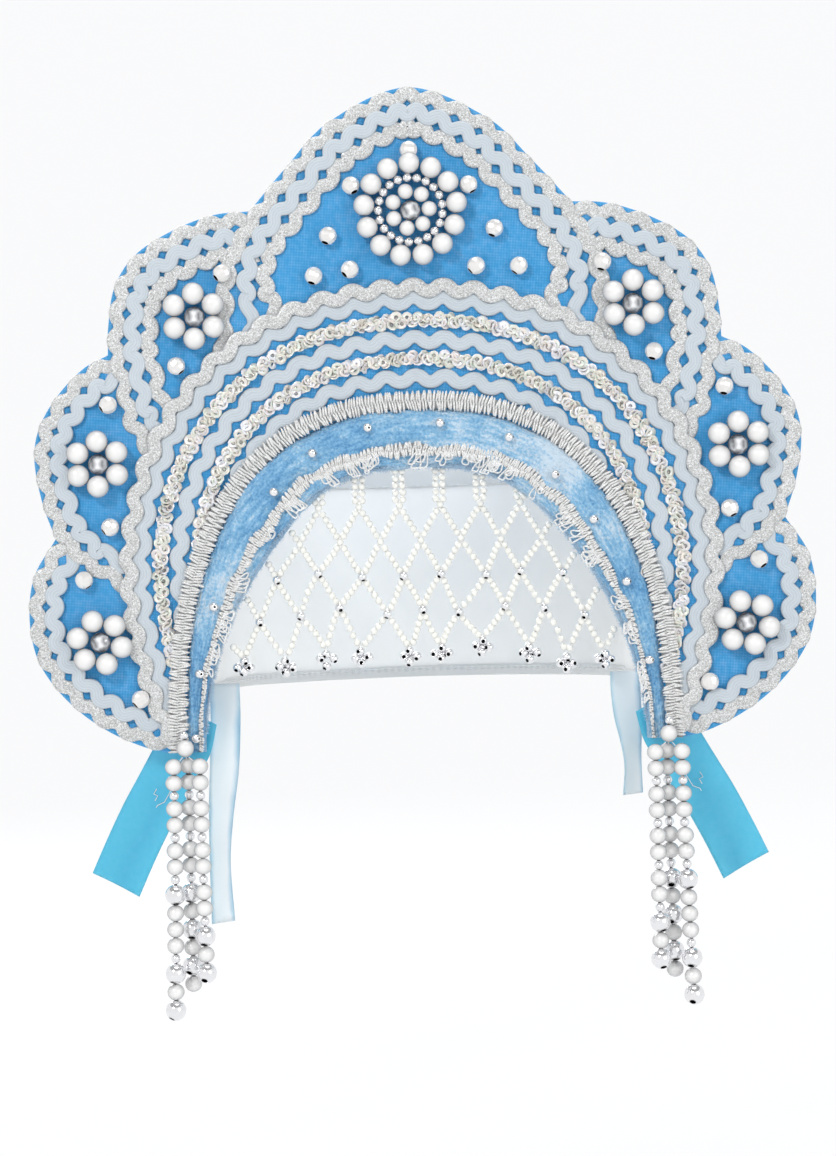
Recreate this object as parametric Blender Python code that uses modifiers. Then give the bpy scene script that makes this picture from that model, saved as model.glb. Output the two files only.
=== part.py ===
"""Fan-shaped festive headdress: a scalloped cloth-covered board over a padded arch band.

Metres, +Z up, +X to the wearer's left as seen from the front, -Y to the front. The origin is where
the headdress sits on the head: the top of the arch's lip, in the middle of the board's thickness.
"""

import math

import bmesh
import bpy
from mathutils import Vector

MM = 0.001

# Crown board
CROWN_HALF_WIDTH = 161.5 * MM
CROWN_HEIGHT = 270.0 * MM
BOARD_THICKNESS = 5.0 * MM
LIP_HEIGHT = 114.0 * MM  # from the feet to the top of the arch's lip

# Padded band round the arch
BAND_WIDTH_TOP = 22.0 * MM
BAND_WIDTH_FOOT = 6.0 * MM
BAND_FRONT = 7.0 * MM  # from the middle of the board
BAND_BACK = 6.0 * MM
SEAM_HALF_WIDTH = 96.8 * MM  # where band and board meet, at the feet

# Braids and trims
GIMP_WIDTH = 9.0 * MM
GIMP_THICKNESS = 2.0 * MM
GIMP_SHOULDER = 0.7  # width of the raised middle of the braid, share of its width
EDGE_BRAID_THICKNESS = 1.6 * MM
WAVE_HEIGHT = 8.0 * MM
WAVE_LENGTH = 12.4 * MM
WAVE_CORD_WIDTH = 5.0 * MM
WAVE_THICKNESS = 1.5 * MM
SEQUIN_WIDTH = 5.8 * MM
SEQUIN_THICKNESS = 1.4 * MM
SEQUIN_SHOULDER = 0.6
ROW_GAP = 1.0 * MM
ROW_CONVERGE = 47.5 * MM  # how much nearer the arch the rows run at the feet than at the top

# Pearls, beads and stones
FLOWER_PEARL = 9.2 * MM
FLOWER_PEARLS = 6
MEDALLION_PEARL = 8.8 * MM
MEDALLION_PEARLS = 13
MEDALLION_RADIUS = 19.1 * MM
STONE_DIAMETER = 6.6 * MM
STONE_HEIGHT = 3.0 * MM
STONE_TABLE = 0.56  # width of a stone's flat top, share of its diameter
STRAND_PEARL = 7.0 * MM
STRAND_PEARL_LENGTH = 6.6 * MM  # along its thread
STRAND_BALL = 8.3 * MM
STRAND_BEAD = 3.8 * MM
THREAD_DIAMETER = 1.4 * MM
HANGER_PEARL = 7.2 * MM
HANGER_ACROSS = 0.15  # from the gimp's inner edge to the hanger pearl, share of the gimp's width
HANGER_UP = 0.3  # middle of the hanger pearl over the feet, share of its diameter

# Bead net under the arch
NET_PITCH = 16.6 * MM
NET_ROW = 14.4 * MM
NET_STRING = 2.8 * MM
NET_FIRST_ROW = 15.6 * MM  # from the top of the lip down to the first row of knots
NET_ROWS = 4  # rows of diamonds, the last one open below
NET_EDGE = 0.8  # width of the string along the lip, share of NET_STRING
NET_TIP = 0.9  # width of the net's lowest points, share of NET_STRING
NET_END = 0.35  # how far its edge on the lip runs below the last full row, share of NET_ROW
NET_SIDE = 0.8  # least way from that end in to the first low point, share of half a diamond

# Cloth at the back and ribbons
PANEL_HALF_WIDTH = 90.0 * MM
PANEL_DEPTH = 180.0 * MM
PANEL_HEIGHT = 100.0 * MM
PANEL_RISE = 7.0 * MM  # top hem over the lip
PANEL_SEAM = 0.7  # depth of the band where the panel is sewn to it, share of its full back depth
CLOTH_THICKNESS = 1.2 * MM
RIBBON_WIDTH = 22.0 * MM
RIBBON_LENGTH = 72.0 * MM
RIBBON_THICKNESS = 1.0 * MM
RIBBON_TUCK = 0.22  # how much of a tie ribbon lies behind the foot, share of its length
PALE_RIBBON_WIDTH = 12.4 * MM
PALE_RIBBON_LONG = 99.0 * MM
PALE_RIBBON_SHORT = 51.0 * MM

CLEARANCE = 0.3 * MM  # between neighbours that touch on the real thing

# Form of the arch and how finely curves are divided
ARCH_POWER = 2.45
LOBE_STEPS = 3
ARCH_STATIONS = 26
BAND_TAPER = 0.6  # share of the half arch over which the band grows to its full width
BAND_FOOT_DEPTH = 0.6  # depth of the band at the feet, share of its full depth
BEAD_SIDES_RESOLUTION = 3
SEAM_STEPS = 240
ROW_STEPS = 120
SEQUIN_STATIONS = 24
PANEL_STATIONS = 20
NET_EDGE_STATIONS = 22

# One pearl of a ring. Columns: share of the pearl's length from its middle, share of its radius.
RING_PEARL = ((-0.5, 0.30), (-0.22, 1.0), (0.22, 1.0))

# Half of the board's outline, peak to foot. Columns: share of the half width, share of the height.
CENTRAL_LOBE = ((0.0, 1.0), (0.198, 0.952), (0.313, 0.884), (0.409, 0.819))
UPPER_LOBE = (
    (0.409, 0.819), (0.500, 0.815), (0.604, 0.794), (0.703, 0.758),
    (0.758, 0.710), (0.777, 0.650), (0.780, 0.607),
)
MIDDLE_LOBE = (
    (0.780, 0.607), (0.845, 0.587), (0.915, 0.545), (0.962, 0.497),
    (0.975, 0.448), (0.958, 0.385), (0.927, 0.330),
)
# The lower lobe's first column is a share of the way from the seam to the board's widest point.
LOWER_LOBE = (
    (0.818, 0.330), (0.960, 0.275), (1.000, 0.215), (0.966, 0.155),
    (0.861, 0.108), (0.699, 0.066), (0.513, 0.034), (0.312, 0.011), (0.150, 0.0),
)

# Section of the padded band. Columns: share of its width from the seam to the lip, and depth as a
# share of the front depth (negative) or of the back depth (positive).
BAND_SECTION = (
    (0.00, -0.45), (0.18, -0.90), (0.50, -1.00), (0.82, -0.93), (0.98, -0.45),
    (0.98, 0.55), (0.60, 1.00), (0.00, 0.80),
)
# Section of the inner braid. Columns: share of the band's width, share of the braid's thickness.
INNER_BRAID_SECTION = ((0.56, 0.0), (0.56, 0.7), (0.70, 1.0), (0.84, 0.7), (0.84, 0.0))

# Rows of trim from the outer gimp outwards.
ROWS = (
    ("white_rickrack_inner", "wave"),
    ("sequin_string_inner", "sequin"),
    ("white_rickrack_middle", "wave"),
    ("sequin_string_outer", "sequin"),
    ("white_rickrack_outer", "wave"),
)

# Pearl flowers. Columns: name, share of the half width, share of the height, turn in degrees.
FLOWERS = (
    ("upper", 0.556, 0.660, 0.0),
    ("middle", 0.811, 0.441, 0.0),
    ("lower", 0.819, 0.171, 17.0),
)
MEDALLION_UP = 0.811  # centre of the medallion, share of the crown's height

# Bead strands on each side. Columns: name, beads from the top (P pearl, S small silver bead,
# B silver ball), place across and in depth in pearl diameters from the hanger pearl, sideways sway
# and forward sway at the end in pearl diameters.
STRANDS = (
    ("outer", "PPSPPSPPSBPPPSBPB", 0.68, -0.30, 0.30, -0.10),
    ("middle", "PPSPPSPPSBPBPBP", -0.10, 0.52, 0.10, 0.10),
    ("inner", "PPSPPSPPSPPSBPB", -0.84, -0.34, -0.05, -0.15),
)
STRAND_LEAD = 0.06  # thread between hanger pearl and first bead, in pearl diameters
STRAND_START = 0.25  # how far apart the threads start, share of how far apart the beads hang
# Route of a strand's sway: share of its length, share of its sway.
STRAND_ROUTE = ((0.0, 0.0), (0.3, 0.12), (0.65, 0.55), (1.0, 1.0))

# How a tie ribbon hangs. Columns: share of its length, share across, share to the back.
RIBBON_ROUTE = (
    (0.00, 0.00, 0.00), (0.16, 0.04, 0.00), (0.30, 0.12, 0.05), (0.45, 0.21, 0.12),
    (0.60, 0.30, 0.17), (0.80, 0.405, 0.21), (1.00, 0.50, 0.23),
)
# How a pale ribbon hangs. Columns: share of its length, share across, turn of its width in degrees.
PALE_ROUTE = (
    (0.00, 0.00, 0.0), (0.15, 0.00, 4.0), (0.35, 0.01, 18.0), (0.55, 0.03, 40.0),
    (0.75, 0.04, 52.0), (1.00, 0.035, 45.0),
)

FEET = -LIP_HEIGHT
SEAM_RISE = LIP_HEIGHT + BAND_WIDTH_TOP
BOARD_FRONT = -BOARD_THICKNESS / 2
BOARD_BACK = BOARD_THICKNESS / 2
# The gimp is sewn over the ends of the rows.
GIMP_LIFT = max(WAVE_THICKNESS, SEQUIN_THICKNESS) + 2 * CLEARANCE

for old in list(bpy.data.objects):
    bpy.data.objects.remove(old, do_unlink=True)

crown = bpy.data.collections.new("headdress")
bpy.context.scene.collection.children.link(crown)
guides = bpy.data.collections.new("headdress_guides")
bpy.context.scene.collection.children.link(guides)


def material(name, colour, roughness, metallic=0.0):
    """A Principled material in one plain colour."""
    found = bpy.data.materials.get(name)
    if found:
        return found
    made = bpy.data.materials.new(name)
    made.use_nodes = True
    shader = made.node_tree.nodes["Principled BSDF"]
    shader.inputs["Base Color"].default_value = (*colour, 1.0)
    shader.inputs["Roughness"].default_value = roughness
    shader.inputs["Metallic"].default_value = metallic
    made.diffuse_color = (*colour, 1.0)
    return made


BLUE_CLOTH = material("blue_cloth", (0.045, 0.28, 0.68), 0.7)
BLUE_PLUSH = material("light_blue_plush", (0.19, 0.43, 0.69), 0.8)
WHITE_BRAID = material("white_braid", (0.67, 0.71, 0.80), 0.7)
SILVER_BRAID = material("silver_braid", (0.57, 0.57, 0.56), 0.5, 0.4)
SEQUINS = material("sequins", (0.66, 0.65, 0.60), 0.25, 0.6)
PEARL = material("pearl", (0.90, 0.89, 0.87), 0.2)
CRYSTAL = material("crystal", (0.62, 0.64, 0.66), 0.05, 0.3)
SHEER_CLOTH = material("sheer_cloth", (0.80, 0.83, 0.84), 0.6)
TURQUOISE_SATIN = material("turquoise_satin", (0.06, 0.49, 0.71), 0.35)


class Route:
    """A chain of points in a plane, read by the distance along it."""

    def __init__(self, points):
        self.points = [Vector(point) for point in points]
        self.reached = [0.0]
        for a, b in zip(self.points, self.points[1:]):
            self.reached.append(self.reached[-1] + (b - a).length)
        self.length = self.reached[-1]

    def at(self, distance):
        """The point there and the direction to its left, both in the plane."""
        distance = min(max(distance, 0.0), self.length)
        i = 0
        while i < len(self.points) - 2 and self.reached[i + 1] < distance:
            i += 1
        a, b = self.points[i], self.points[i + 1]
        along = (b - a).normalized()
        return a + along * (distance - self.reached[i]), Vector((-along.y, along.x))


def smooth_through(points, steps):
    """A Catmull-Rom curve through the points, with so many steps between each two."""
    rows = [Vector(point) for point in points]
    rows = [2 * rows[0] - rows[1], *rows, 2 * rows[-1] - rows[-2]]
    curve = []
    for a, b, c, d in zip(rows, rows[1:], rows[2:], rows[3:]):
        for step in range(steps):
            t = step / steps
            curve.append(
                0.5 * (2 * b + (c - a) * t + (2 * a - 5 * b + 4 * c - d) * t**2
                       + (3 * b - a - 3 * c + d) * t**3)
            )
    return [*curve, rows[-2]]


def smoothstep(share):
    share = min(max(share, 0.0), 1.0)
    return share * share * (3 - 2 * share)


def seam_route():
    """The seam between board and band, left foot to right foot, as a superellipse."""
    points = []
    for i in range(SEAM_STEPS + 1):
        angle = math.pi * (1 - i / SEAM_STEPS)
        across, up = math.cos(angle), max(math.sin(angle), 0.0)
        points.append((
            math.copysign(abs(across) ** (2 / ARCH_POWER), across) * SEAM_HALF_WIDTH,
            FEET + up ** (2 / ARCH_POWER) * SEAM_RISE,
        ))
    return Route(points)


SEAM = seam_route()
HALF_ARCH = SEAM.length / 2


def arch_point(distance, offset):
    """The point so far along the seam and so far outside it."""
    point, left = SEAM.at(distance)
    return point + left * offset


def band_share(distance):
    """How full the band is there: 0 at the feet, 1 over the middle of the arch."""
    from_foot = min(distance, SEAM.length - distance)
    return smoothstep(from_foot / (BAND_TAPER * HALF_ARCH))


def band_width(distance):
    return BAND_WIDTH_FOOT + (BAND_WIDTH_TOP - BAND_WIDTH_FOOT) * band_share(distance)


def band_depth(distance):
    return BAND_FOOT_DEPTH + (1 - BAND_FOOT_DEPTH) * band_share(distance)


def stations(count, start=0.0, end=None):
    end = SEAM.length if end is None else end
    return [start + (end - start) * i / count for i in range(count + 1)]


# Face of the crown: local X across, local Y up, local Z forward from the board's front
face = bpy.data.objects.new("crown_face", None)
face.location = (0, BOARD_FRONT, 0)
face.rotation_euler = (math.radians(90), 0, 0)
crown.objects.link(face)


def place(name, data, finish, parent=None, location=(0, 0, 0), collection=crown):
    """A new object with its material, under its parent."""
    if finish:
        data.materials.append(finish)
    made = bpy.data.objects.new(name, data)
    made.location = location
    made.parent = parent
    collection.objects.link(made)
    return made


def poly_curve(name, points, radii=None, closed=False, flat=False):
    """Curve data with one straight-sided spline."""
    data = bpy.data.curves.new(name, "CURVE")
    data.dimensions = "2D" if flat else "3D"
    add_spline(data, points, radii, closed)
    return data


def add_spline(data, points, radii=None, closed=False):
    spline = data.splines.new("POLY")
    spline.points.add(len(points) - 1)
    for i, point in enumerate(points):
        spline.points[i].co = (point[0], point[1], point[2] if len(point) > 2 else 0.0, 1.0)
        spline.points[i].radius = radii[i] if radii else 1.0
    spline.use_cyclic_u = closed


def loft(name, sections):
    """A closed solid through closed sections of as many points each, with flat ends."""
    shape = bmesh.new()
    rings = [[shape.verts.new(point) for point in section] for section in sections]
    count = len(rings[0])
    for ring, following in zip(rings, rings[1:]):
        for i in range(count):
            j = (i + 1) % count
            shape.faces.new((ring[i], ring[j], following[j], following[i]))
    shape.faces.new(rings[0][::-1])
    shape.faces.new(rings[-1])
    bmesh.ops.recalc_face_normals(shape, faces=shape.faces)
    data = bpy.data.meshes.new(name)
    shape.to_mesh(data)
    shape.free()
    return data


def outline_half():
    """The board's outline from the peak to the right foot."""
    reach = CROWN_HALF_WIDTH - SEAM_HALF_WIDTH
    lobes = [
        [(across * CROWN_HALF_WIDTH, FEET + up * CROWN_HEIGHT) for across, up in lobe]
        for lobe in (CENTRAL_LOBE, UPPER_LOBE, MIDDLE_LOBE)
    ]
    lobes.append([
        (SEAM_HALF_WIDTH + across * reach, FEET + up * CROWN_HEIGHT) for across, up in LOWER_LOBE
    ])
    # The central lobe is drawn from its mirrored side, so that the peak is round.
    central = lobes[0]
    points = smooth_through([(-central[1][0], central[1][1]), *central], LOBE_STEPS)[LOBE_STEPS:-1]
    for lobe in lobes[1:]:
        points += smooth_through(lobe, LOBE_STEPS)[:-1]
    return [*points, Vector(lobes[-1][-1])]


def crown_board():
    """The stiff scalloped board, one flat outline round the fan and back along the arch."""
    right = outline_half()
    arch = [arch_point(s, CLEARANCE) for s in reversed(stations(ARCH_STATIONS))]
    left = [Vector((-point.x, point.y)) for point in reversed(right[1:])]
    data = poly_curve("crown_board", [*right, *arch, *left], closed=True, flat=True)
    data.fill_mode = "BOTH"
    data.extrude = BOARD_THICKNESS / 2
    place("crown_board", data, BLUE_CLOTH, face, (0, 0, -BOARD_THICKNESS / 2))


def padded_band():
    """The plush roll along the arch, thin at the feet and full over the forehead."""
    sections = []
    for s in stations(ARCH_STATIONS):
        width, depth = band_width(s), band_depth(s)
        section = []
        for share, out in BAND_SECTION:
            point = arch_point(s, -share * width)
            reach = BAND_FRONT if out < 0 else BAND_BACK
            section.append((point.x, out * depth * reach, point.y))
        sections.append(section)
    place("padded_band", loft("padded_band", sections), BLUE_PLUSH)


def inner_braid():
    """The looped silver braid that lies on the band beside its lip."""
    sections = []
    for s in stations(ARCH_STATIONS - 4):
        width = band_width(s)
        base = -BAND_FRONT * band_depth(s) - CLEARANCE
        section = []
        for share, rise in INNER_BRAID_SECTION:
            point = arch_point(s, -share * width)
            section.append((point.x, base - rise * EDGE_BRAID_THICKNESS, point.y))
        sections.append(section)
    place("inner_loop_braid", loft("inner_loop_braid", sections), SILVER_BRAID)


def strip_profile(name, width, thickness, shoulder):
    """The cross section of a flat trim: its back at local Y 0 and its crown above."""
    half = width / 2
    points = [(half, 0), (-half, 0)]
    if shoulder > 0:
        points += [(-half * shoulder, thickness), (half * shoulder, thickness)]
    else:
        points.append((0, thickness))
    made = place(name, poly_curve(name, points, closed=True, flat=True), None, collection=guides)
    made.hide_render = True
    made.display_type = "WIRE"
    return made


def swept_strip(name, points, profile, finish, lift):
    """A trim of one section along a line in the crown's face."""
    data = poly_curve(name, points, flat=True)
    data.bevel_mode = "OBJECT"
    data.bevel_object = profile
    data.use_fill_caps = True
    place(name, data, finish, face, (0, 0, lift))


def row_width(kind):
    return WAVE_HEIGHT if kind == "wave" else SEQUIN_WIDTH


def gimp_offset():
    return CLEARANCE + GIMP_WIDTH / 2


def row_offset(stack, distance):
    """How far outside the seam a row runs there, from its place in the stack at the top."""
    from_top = abs(distance - HALF_ARCH) / HALF_ARCH
    return stack - ROW_CONVERGE * from_top**2


def row_route(stack, kind):
    """The middle line of a row, whose two ends run in under the gimp as far as the seam."""
    nearest = CLEARANCE + row_width(kind) / 2
    reach = HALF_ARCH * math.sqrt(max((stack - nearest) / ROW_CONVERGE, 0.0))
    points = [
        arch_point(s, row_offset(stack, s))
        for s in stations(ROW_STEPS, HALF_ARCH - reach, HALF_ARCH + reach)
    ]
    return Route(points)


def wave_points(route):
    """Crests and troughs in turn along a row, with a whole number of waves."""
    halves = 2 * round(route.length / WAVE_LENGTH) + 1
    swing = (WAVE_HEIGHT - WAVE_CORD_WIDTH) / 2
    points = []
    for i in range(halves + 1):
        point, left = route.at(route.length * i / halves)
        points.append(point + left * (swing if i % 2 else -swing))
    return points


def rows_of_trim():
    """The outer gimp on the seam's edge, then waves and sequin strings in turn."""
    gimp = strip_profile("gimp_section", GIMP_WIDTH, GIMP_THICKNESS, GIMP_SHOULDER)
    swept_strip(
        "outer_gimp_braid",
        [arch_point(s, gimp_offset()) for s in stations(ARCH_STATIONS)],
        gimp, SILVER_BRAID, GIMP_LIFT,
    )
    wave = strip_profile("wave_section", WAVE_CORD_WIDTH, WAVE_THICKNESS, 0.0)
    sequin = strip_profile("sequin_section", SEQUIN_WIDTH, SEQUIN_THICKNESS, SEQUIN_SHOULDER)
    edge = gimp_offset() + GIMP_WIDTH / 2
    for name, kind in ROWS:
        stack = edge + ROW_GAP + row_width(kind) / 2
        edge = stack + row_width(kind) / 2
        route = row_route(stack, kind)
        if kind == "wave":
            swept_strip(name, wave_points(route), wave, WHITE_BRAID, CLEARANCE)
        else:
            points = [route.at(s)[0] for s in stations(SEQUIN_STATIONS, 0.0, route.length)]
            swept_strip(name, points, sequin, SEQUINS, CLEARANCE)


def bead_ring(name, centre, ring_radius, bead, count, turn):
    """Pearls strung in a ring on the crown's face, joined by their thread."""
    points, radii = [], []
    step = 2 * math.pi / count
    for i in range(count):
        middle = math.radians(90 + turn) + i * step
        for swing, size in RING_PEARL:
            angle = middle + swing * step
            points.append((math.cos(angle) * ring_radius, math.sin(angle) * ring_radius, 0.0))
            radii.append(size)
    data = poly_curve(name, points, radii, closed=True)
    data.bevel_depth = bead / 2
    data.bevel_resolution = BEAD_SIDES_RESOLUTION
    place(name, data, PEARL, face, (centre[0], centre[1], bead / 2 + CLEARANCE))


def cut_stone(name, centre):
    """A faceted stone with a table and eight facets over a flat back."""
    shape = bmesh.new()
    bmesh.ops.create_cone(
        shape, cap_ends=True, segments=8, radius1=STONE_DIAMETER / 2,
        radius2=STONE_TABLE * STONE_DIAMETER / 2, depth=STONE_HEIGHT,
    )
    data = bpy.data.meshes.new(name)
    shape.to_mesh(data)
    shape.free()
    place(name, data, CRYSTAL, face, (centre[0], centre[1], STONE_HEIGHT / 2 + CLEARANCE))


def flowers_and_medallion():
    for name, across, up, turn in FLOWERS:
        for side, sign in (("left", -1), ("right", 1)):
            centre = (sign * across * CROWN_HALF_WIDTH, FEET + up * CROWN_HEIGHT)
            ring = FLOWER_PEARL / 2 / math.sin(math.pi / FLOWER_PEARLS)
            bead_ring(f"pearl_flower_{name}_{side}", centre, ring, FLOWER_PEARL,
                      FLOWER_PEARLS, turn)
            cut_stone(f"crystal_{name}_{side}", centre)
    centre = (0, FEET + MEDALLION_UP * CROWN_HEIGHT)
    bead_ring("medallion_pearls", centre, MEDALLION_RADIUS, MEDALLION_PEARL,
              MEDALLION_PEARLS, 0)
    cut_stone("medallion_crystal", centre)


def table_value(rows, share, column=1):
    """A value read between the rows of a table whose first column rises."""
    for a, b in zip(rows, rows[1:]):
        if share <= b[0]:
            part = (share - a[0]) / (b[0] - a[0])
            return a[column] + (b[column] - a[column]) * part
    return rows[-1][column]


# Beads of a strand. Columns: length along the thread, diameter, section as shares of both.
BEAD_KINDS = {
    "P": (STRAND_PEARL_LENGTH, STRAND_PEARL, ((0.24, 1.0), (0.76, 1.0))),
    "B": (STRAND_BALL, STRAND_BALL, ((0.24, 1.0), (0.76, 1.0))),
    "S": (STRAND_BEAD, STRAND_BEAD, ((0.5, 1.0),)),
}


def bead_strand(name, top, beads, across, back, sway, forward):
    """One hanging string of beads: a thin thread at the top, then the beads one by one."""
    lead = STRAND_LEAD * STRAND_PEARL
    length = lead + sum(BEAD_KINDS[bead][0] for bead in beads)
    points, radii = [], []

    def add(drop, radius):
        share = drop / length
        spread = STRAND_START + (1 - STRAND_START) * min(drop / lead, 1.0)
        moved = table_value(STRAND_ROUTE, share)
        points.append((
            top.x + STRAND_PEARL * (across * spread + sway * moved),
            top.y + STRAND_PEARL * (back * spread + forward * moved),
            top.z - drop,
        ))
        radii.append(radius / STRAND_PEARL)

    add(0.0, THREAD_DIAMETER / 2)
    drop = lead
    for above, bead in zip(" " + beads, beads):
        size, diameter, rings = BEAD_KINDS[bead]
        if "S" not in (above, bead):
            add(drop, THREAD_DIAMETER / 2)
        for share, fullness in rings:
            add(drop + share * size, fullness * diameter / 2)
        drop += size
    add(drop, THREAD_DIAMETER / 2)
    data = poly_curve(name, points, radii)
    data.bevel_depth = STRAND_PEARL
    data.bevel_resolution = BEAD_SIDES_RESOLUTION
    data.use_fill_caps = True
    place(name, data, PEARL)


def pendants():
    """A hanger pearl on the front of each foot and the strands under it."""
    for side, sign in (("left", -1), ("right", 1)):
        centre = Vector((
            sign * (SEAM_HALF_WIDTH + CLEARANCE + HANGER_ACROSS * GIMP_WIDTH),
            BOARD_FRONT - GIMP_LIFT - GIMP_THICKNESS - CLEARANCE - HANGER_PEARL / 2,
            FEET + HANGER_UP * HANGER_PEARL,
        ))
        shape = bmesh.new()
        bmesh.ops.create_uvsphere(shape, u_segments=10, v_segments=6, radius=HANGER_PEARL / 2)
        data = bpy.data.meshes.new(f"hanger_pearl_{side}")
        shape.to_mesh(data)
        shape.free()
        place(data.name, data, PEARL, location=centre)
        top = centre - Vector((0, 0, HANGER_PEARL / 2 + CLEARANCE))
        for name, beads, across, back, sway, forward in STRANDS:
            bead_strand(f"bead_strand_{side}_{name}", top, beads, sign * across, back,
                        sign * sway, forward)


def clip_convex(shape, region):
    """The part of a polygon inside a convex one, both turning left."""
    for a, b in zip(region, [*region[1:], region[0]]):
        kept = []
        for p, q in zip(shape, [*shape[1:], shape[0]]):
            p_in = (b - a).cross(p - a) >= 0
            q_in = (b - a).cross(q - a) >= 0
            if p_in:
                kept.append(p)
            if p_in != q_in:
                across_p, across_q = (b - a).cross(p - a), (b - a).cross(q - a)
                kept.append(p + (q - p) * (across_p / (across_p - across_q)))
        shape = kept
        if len(shape) < 3:
            return []
    return shape


def polygon_area(points):
    return sum(p.cross(q) for p, q in zip(points, [*points[1:], points[0]])) / 2


def net_row_height(row):
    """Height of a row of knots, row 0 nearest the lip."""
    return -NET_FIRST_ROW - row * NET_ROW


def lip_point(distance, inset=0.0):
    """A point of the net's edge along the band's lip, or so far inside it."""
    return arch_point(distance, -band_width(distance) - CLEARANCE - inset)


def net_cells(region, outermost):
    """The open diamonds of the net, cut off where they would reach its edge string."""
    half = NET_PITCH / 2
    wall = NET_STRING / 2 * math.hypot(half, NET_ROW) / (half * NET_ROW)
    wide, tall = half * (1 - wall), NET_ROW * (1 - wall)
    half_columns = int(SEAM_HALF_WIDTH / NET_PITCH) + 1
    cells = []
    for row in range(NET_ROWS):
        start = 0 if row % 2 == 0 else 0.5
        for column in range(-half_columns, half_columns + 1):
            middle = Vector(((column + start) * NET_PITCH, net_row_height(row)))
            if row == NET_ROWS - 1 and abs(middle.x) > outermost:
                continue
            if row == 0:
                side = half - NET_STRING
                corners = ((0, -tall), (side, -NET_STRING / 2), (side, 3 * tall),
                           (-side, 3 * tall), (-side, -NET_STRING / 2))
            else:
                corners = ((0, -tall), (wide, 0), (0, tall), (-wide, 0))
            cell = clip_convex([middle + Vector(corner) for corner in corners], region)
            if len(cell) > 2 and polygon_area(cell) > NET_STRING**2:
                cells.append(cell)
    return cells


def bead_net():
    """The net of strung beads in the arch, its knots in staggered rows, open between."""
    lowest = net_row_height(NET_ROWS)
    upper = net_row_height(NET_ROWS - 1)
    end = next(s for s in stations(SEAM_STEPS) if lip_point(s).y > upper - NET_END * NET_ROW)
    lip = [lip_point(s) for s in stations(NET_EDGE_STATIONS, end, SEAM.length - end)]
    rim = [lip_point(s, NET_EDGE * NET_STRING) for s in stations(ARCH_STATIONS)]
    region = [point for point in reversed(rim) if point.y > lowest - NET_ROW]
    reach = lip[-1].x - NET_SIDE * NET_PITCH / 2
    count = 2 * int(reach / NET_PITCH + 0.5)
    knots = [(i - (count - 1) / 2) * NET_PITCH for i in range(count)]
    tip = NET_TIP * NET_STRING
    bottom = []
    for i, knot in enumerate(reversed(knots)):
        bottom += [Vector((knot + tip / 2, lowest - tip)), Vector((knot - tip / 2, lowest - tip))]
        if i < len(knots) - 1:
            bottom.append(Vector((knot - NET_PITCH / 2, upper - tip * 1.6)))
    data = poly_curve("bead_net", [*lip, *bottom], closed=True, flat=True)
    for cell in net_cells(region, max(knots)):
        add_spline(data, cell, closed=True)
    data.fill_mode = "BOTH"
    data.extrude = NET_STRING / 2
    place("bead_net", data, PEARL, face, (0, 0, -BOARD_THICKNESS / 2))


def cloth_strip(name, points, width_vector, thickness, finish):
    """A strip of cloth: a chain of edges carried across by its width and given a thickness."""
    shape = bmesh.new()
    row = [shape.verts.new(point) for point in points]
    for a, b in zip(row, row[1:]):
        shape.edges.new((a, b))
    made = bmesh.ops.extrude_edge_only(shape, edges=shape.edges[:])
    moved = [item for item in made["geom"] if isinstance(item, bmesh.types.BMVert)]
    bmesh.ops.translate(shape, verts=moved, vec=width_vector)
    data = bpy.data.meshes.new(name)
    shape.to_mesh(data)
    shape.free()
    strip = place(name, data, finish)
    wall = strip.modifiers.new("Thickness", "SOLIDIFY")
    wall.thickness = thickness
    wall.offset = 0.0
    return strip


def back_panel():
    """The wide cloth band round the back of the head, open at top and bottom."""
    front = PANEL_SEAM * BAND_BACK + CLEARANCE
    middle = front + PANEL_DEPTH - PANEL_HALF_WIDTH
    points = [(-PANEL_HALF_WIDTH, front), (-PANEL_HALF_WIDTH, (front + middle) / 2)]
    for i in range(PANEL_STATIONS + 1):
        angle = math.pi * (1 - i / PANEL_STATIONS)
        points.append((
            math.cos(angle) * PANEL_HALF_WIDTH,
            middle + math.sin(angle) * PANEL_HALF_WIDTH,
        ))
    points += [(PANEL_HALF_WIDTH, (front + middle) / 2), (PANEL_HALF_WIDTH, front)]
    bottom = PANEL_RISE - PANEL_HEIGHT
    cloth_strip("back_panel", [(x, y, bottom) for x, y in points], (0, 0, PANEL_HEIGHT),
                CLOTH_THICKNESS, SHEER_CLOTH)


def tie_ribbons():
    """A satin ribbon behind each foot, hanging down and outwards."""
    lean = math.atan2(RIBBON_ROUTE[-1][1] - RIBBON_ROUTE[1][1], 1 - RIBBON_ROUTE[1][0])
    for side, sign in (("left", -1), ("right", 1)):
        across = Vector((math.cos(lean) * sign, 0, math.sin(lean))) * RIBBON_WIDTH
        top = Vector((
            sign * (SEAM_HALF_WIDTH - 2 * CLEARANCE),
            BAND_BACK * BAND_FOOT_DEPTH + CLEARANCE + RIBBON_THICKNESS,
            FEET + RIBBON_TUCK * RIBBON_LENGTH,
        )) - across / 2
        points = [
            top + Vector((sign * out, back, -drop)) * RIBBON_LENGTH
            for drop, out, back in RIBBON_ROUTE
        ]
        cloth_strip(f"tie_ribbon_{side}", points, across, RIBBON_THICKNESS, TURQUOISE_SATIN)


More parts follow.
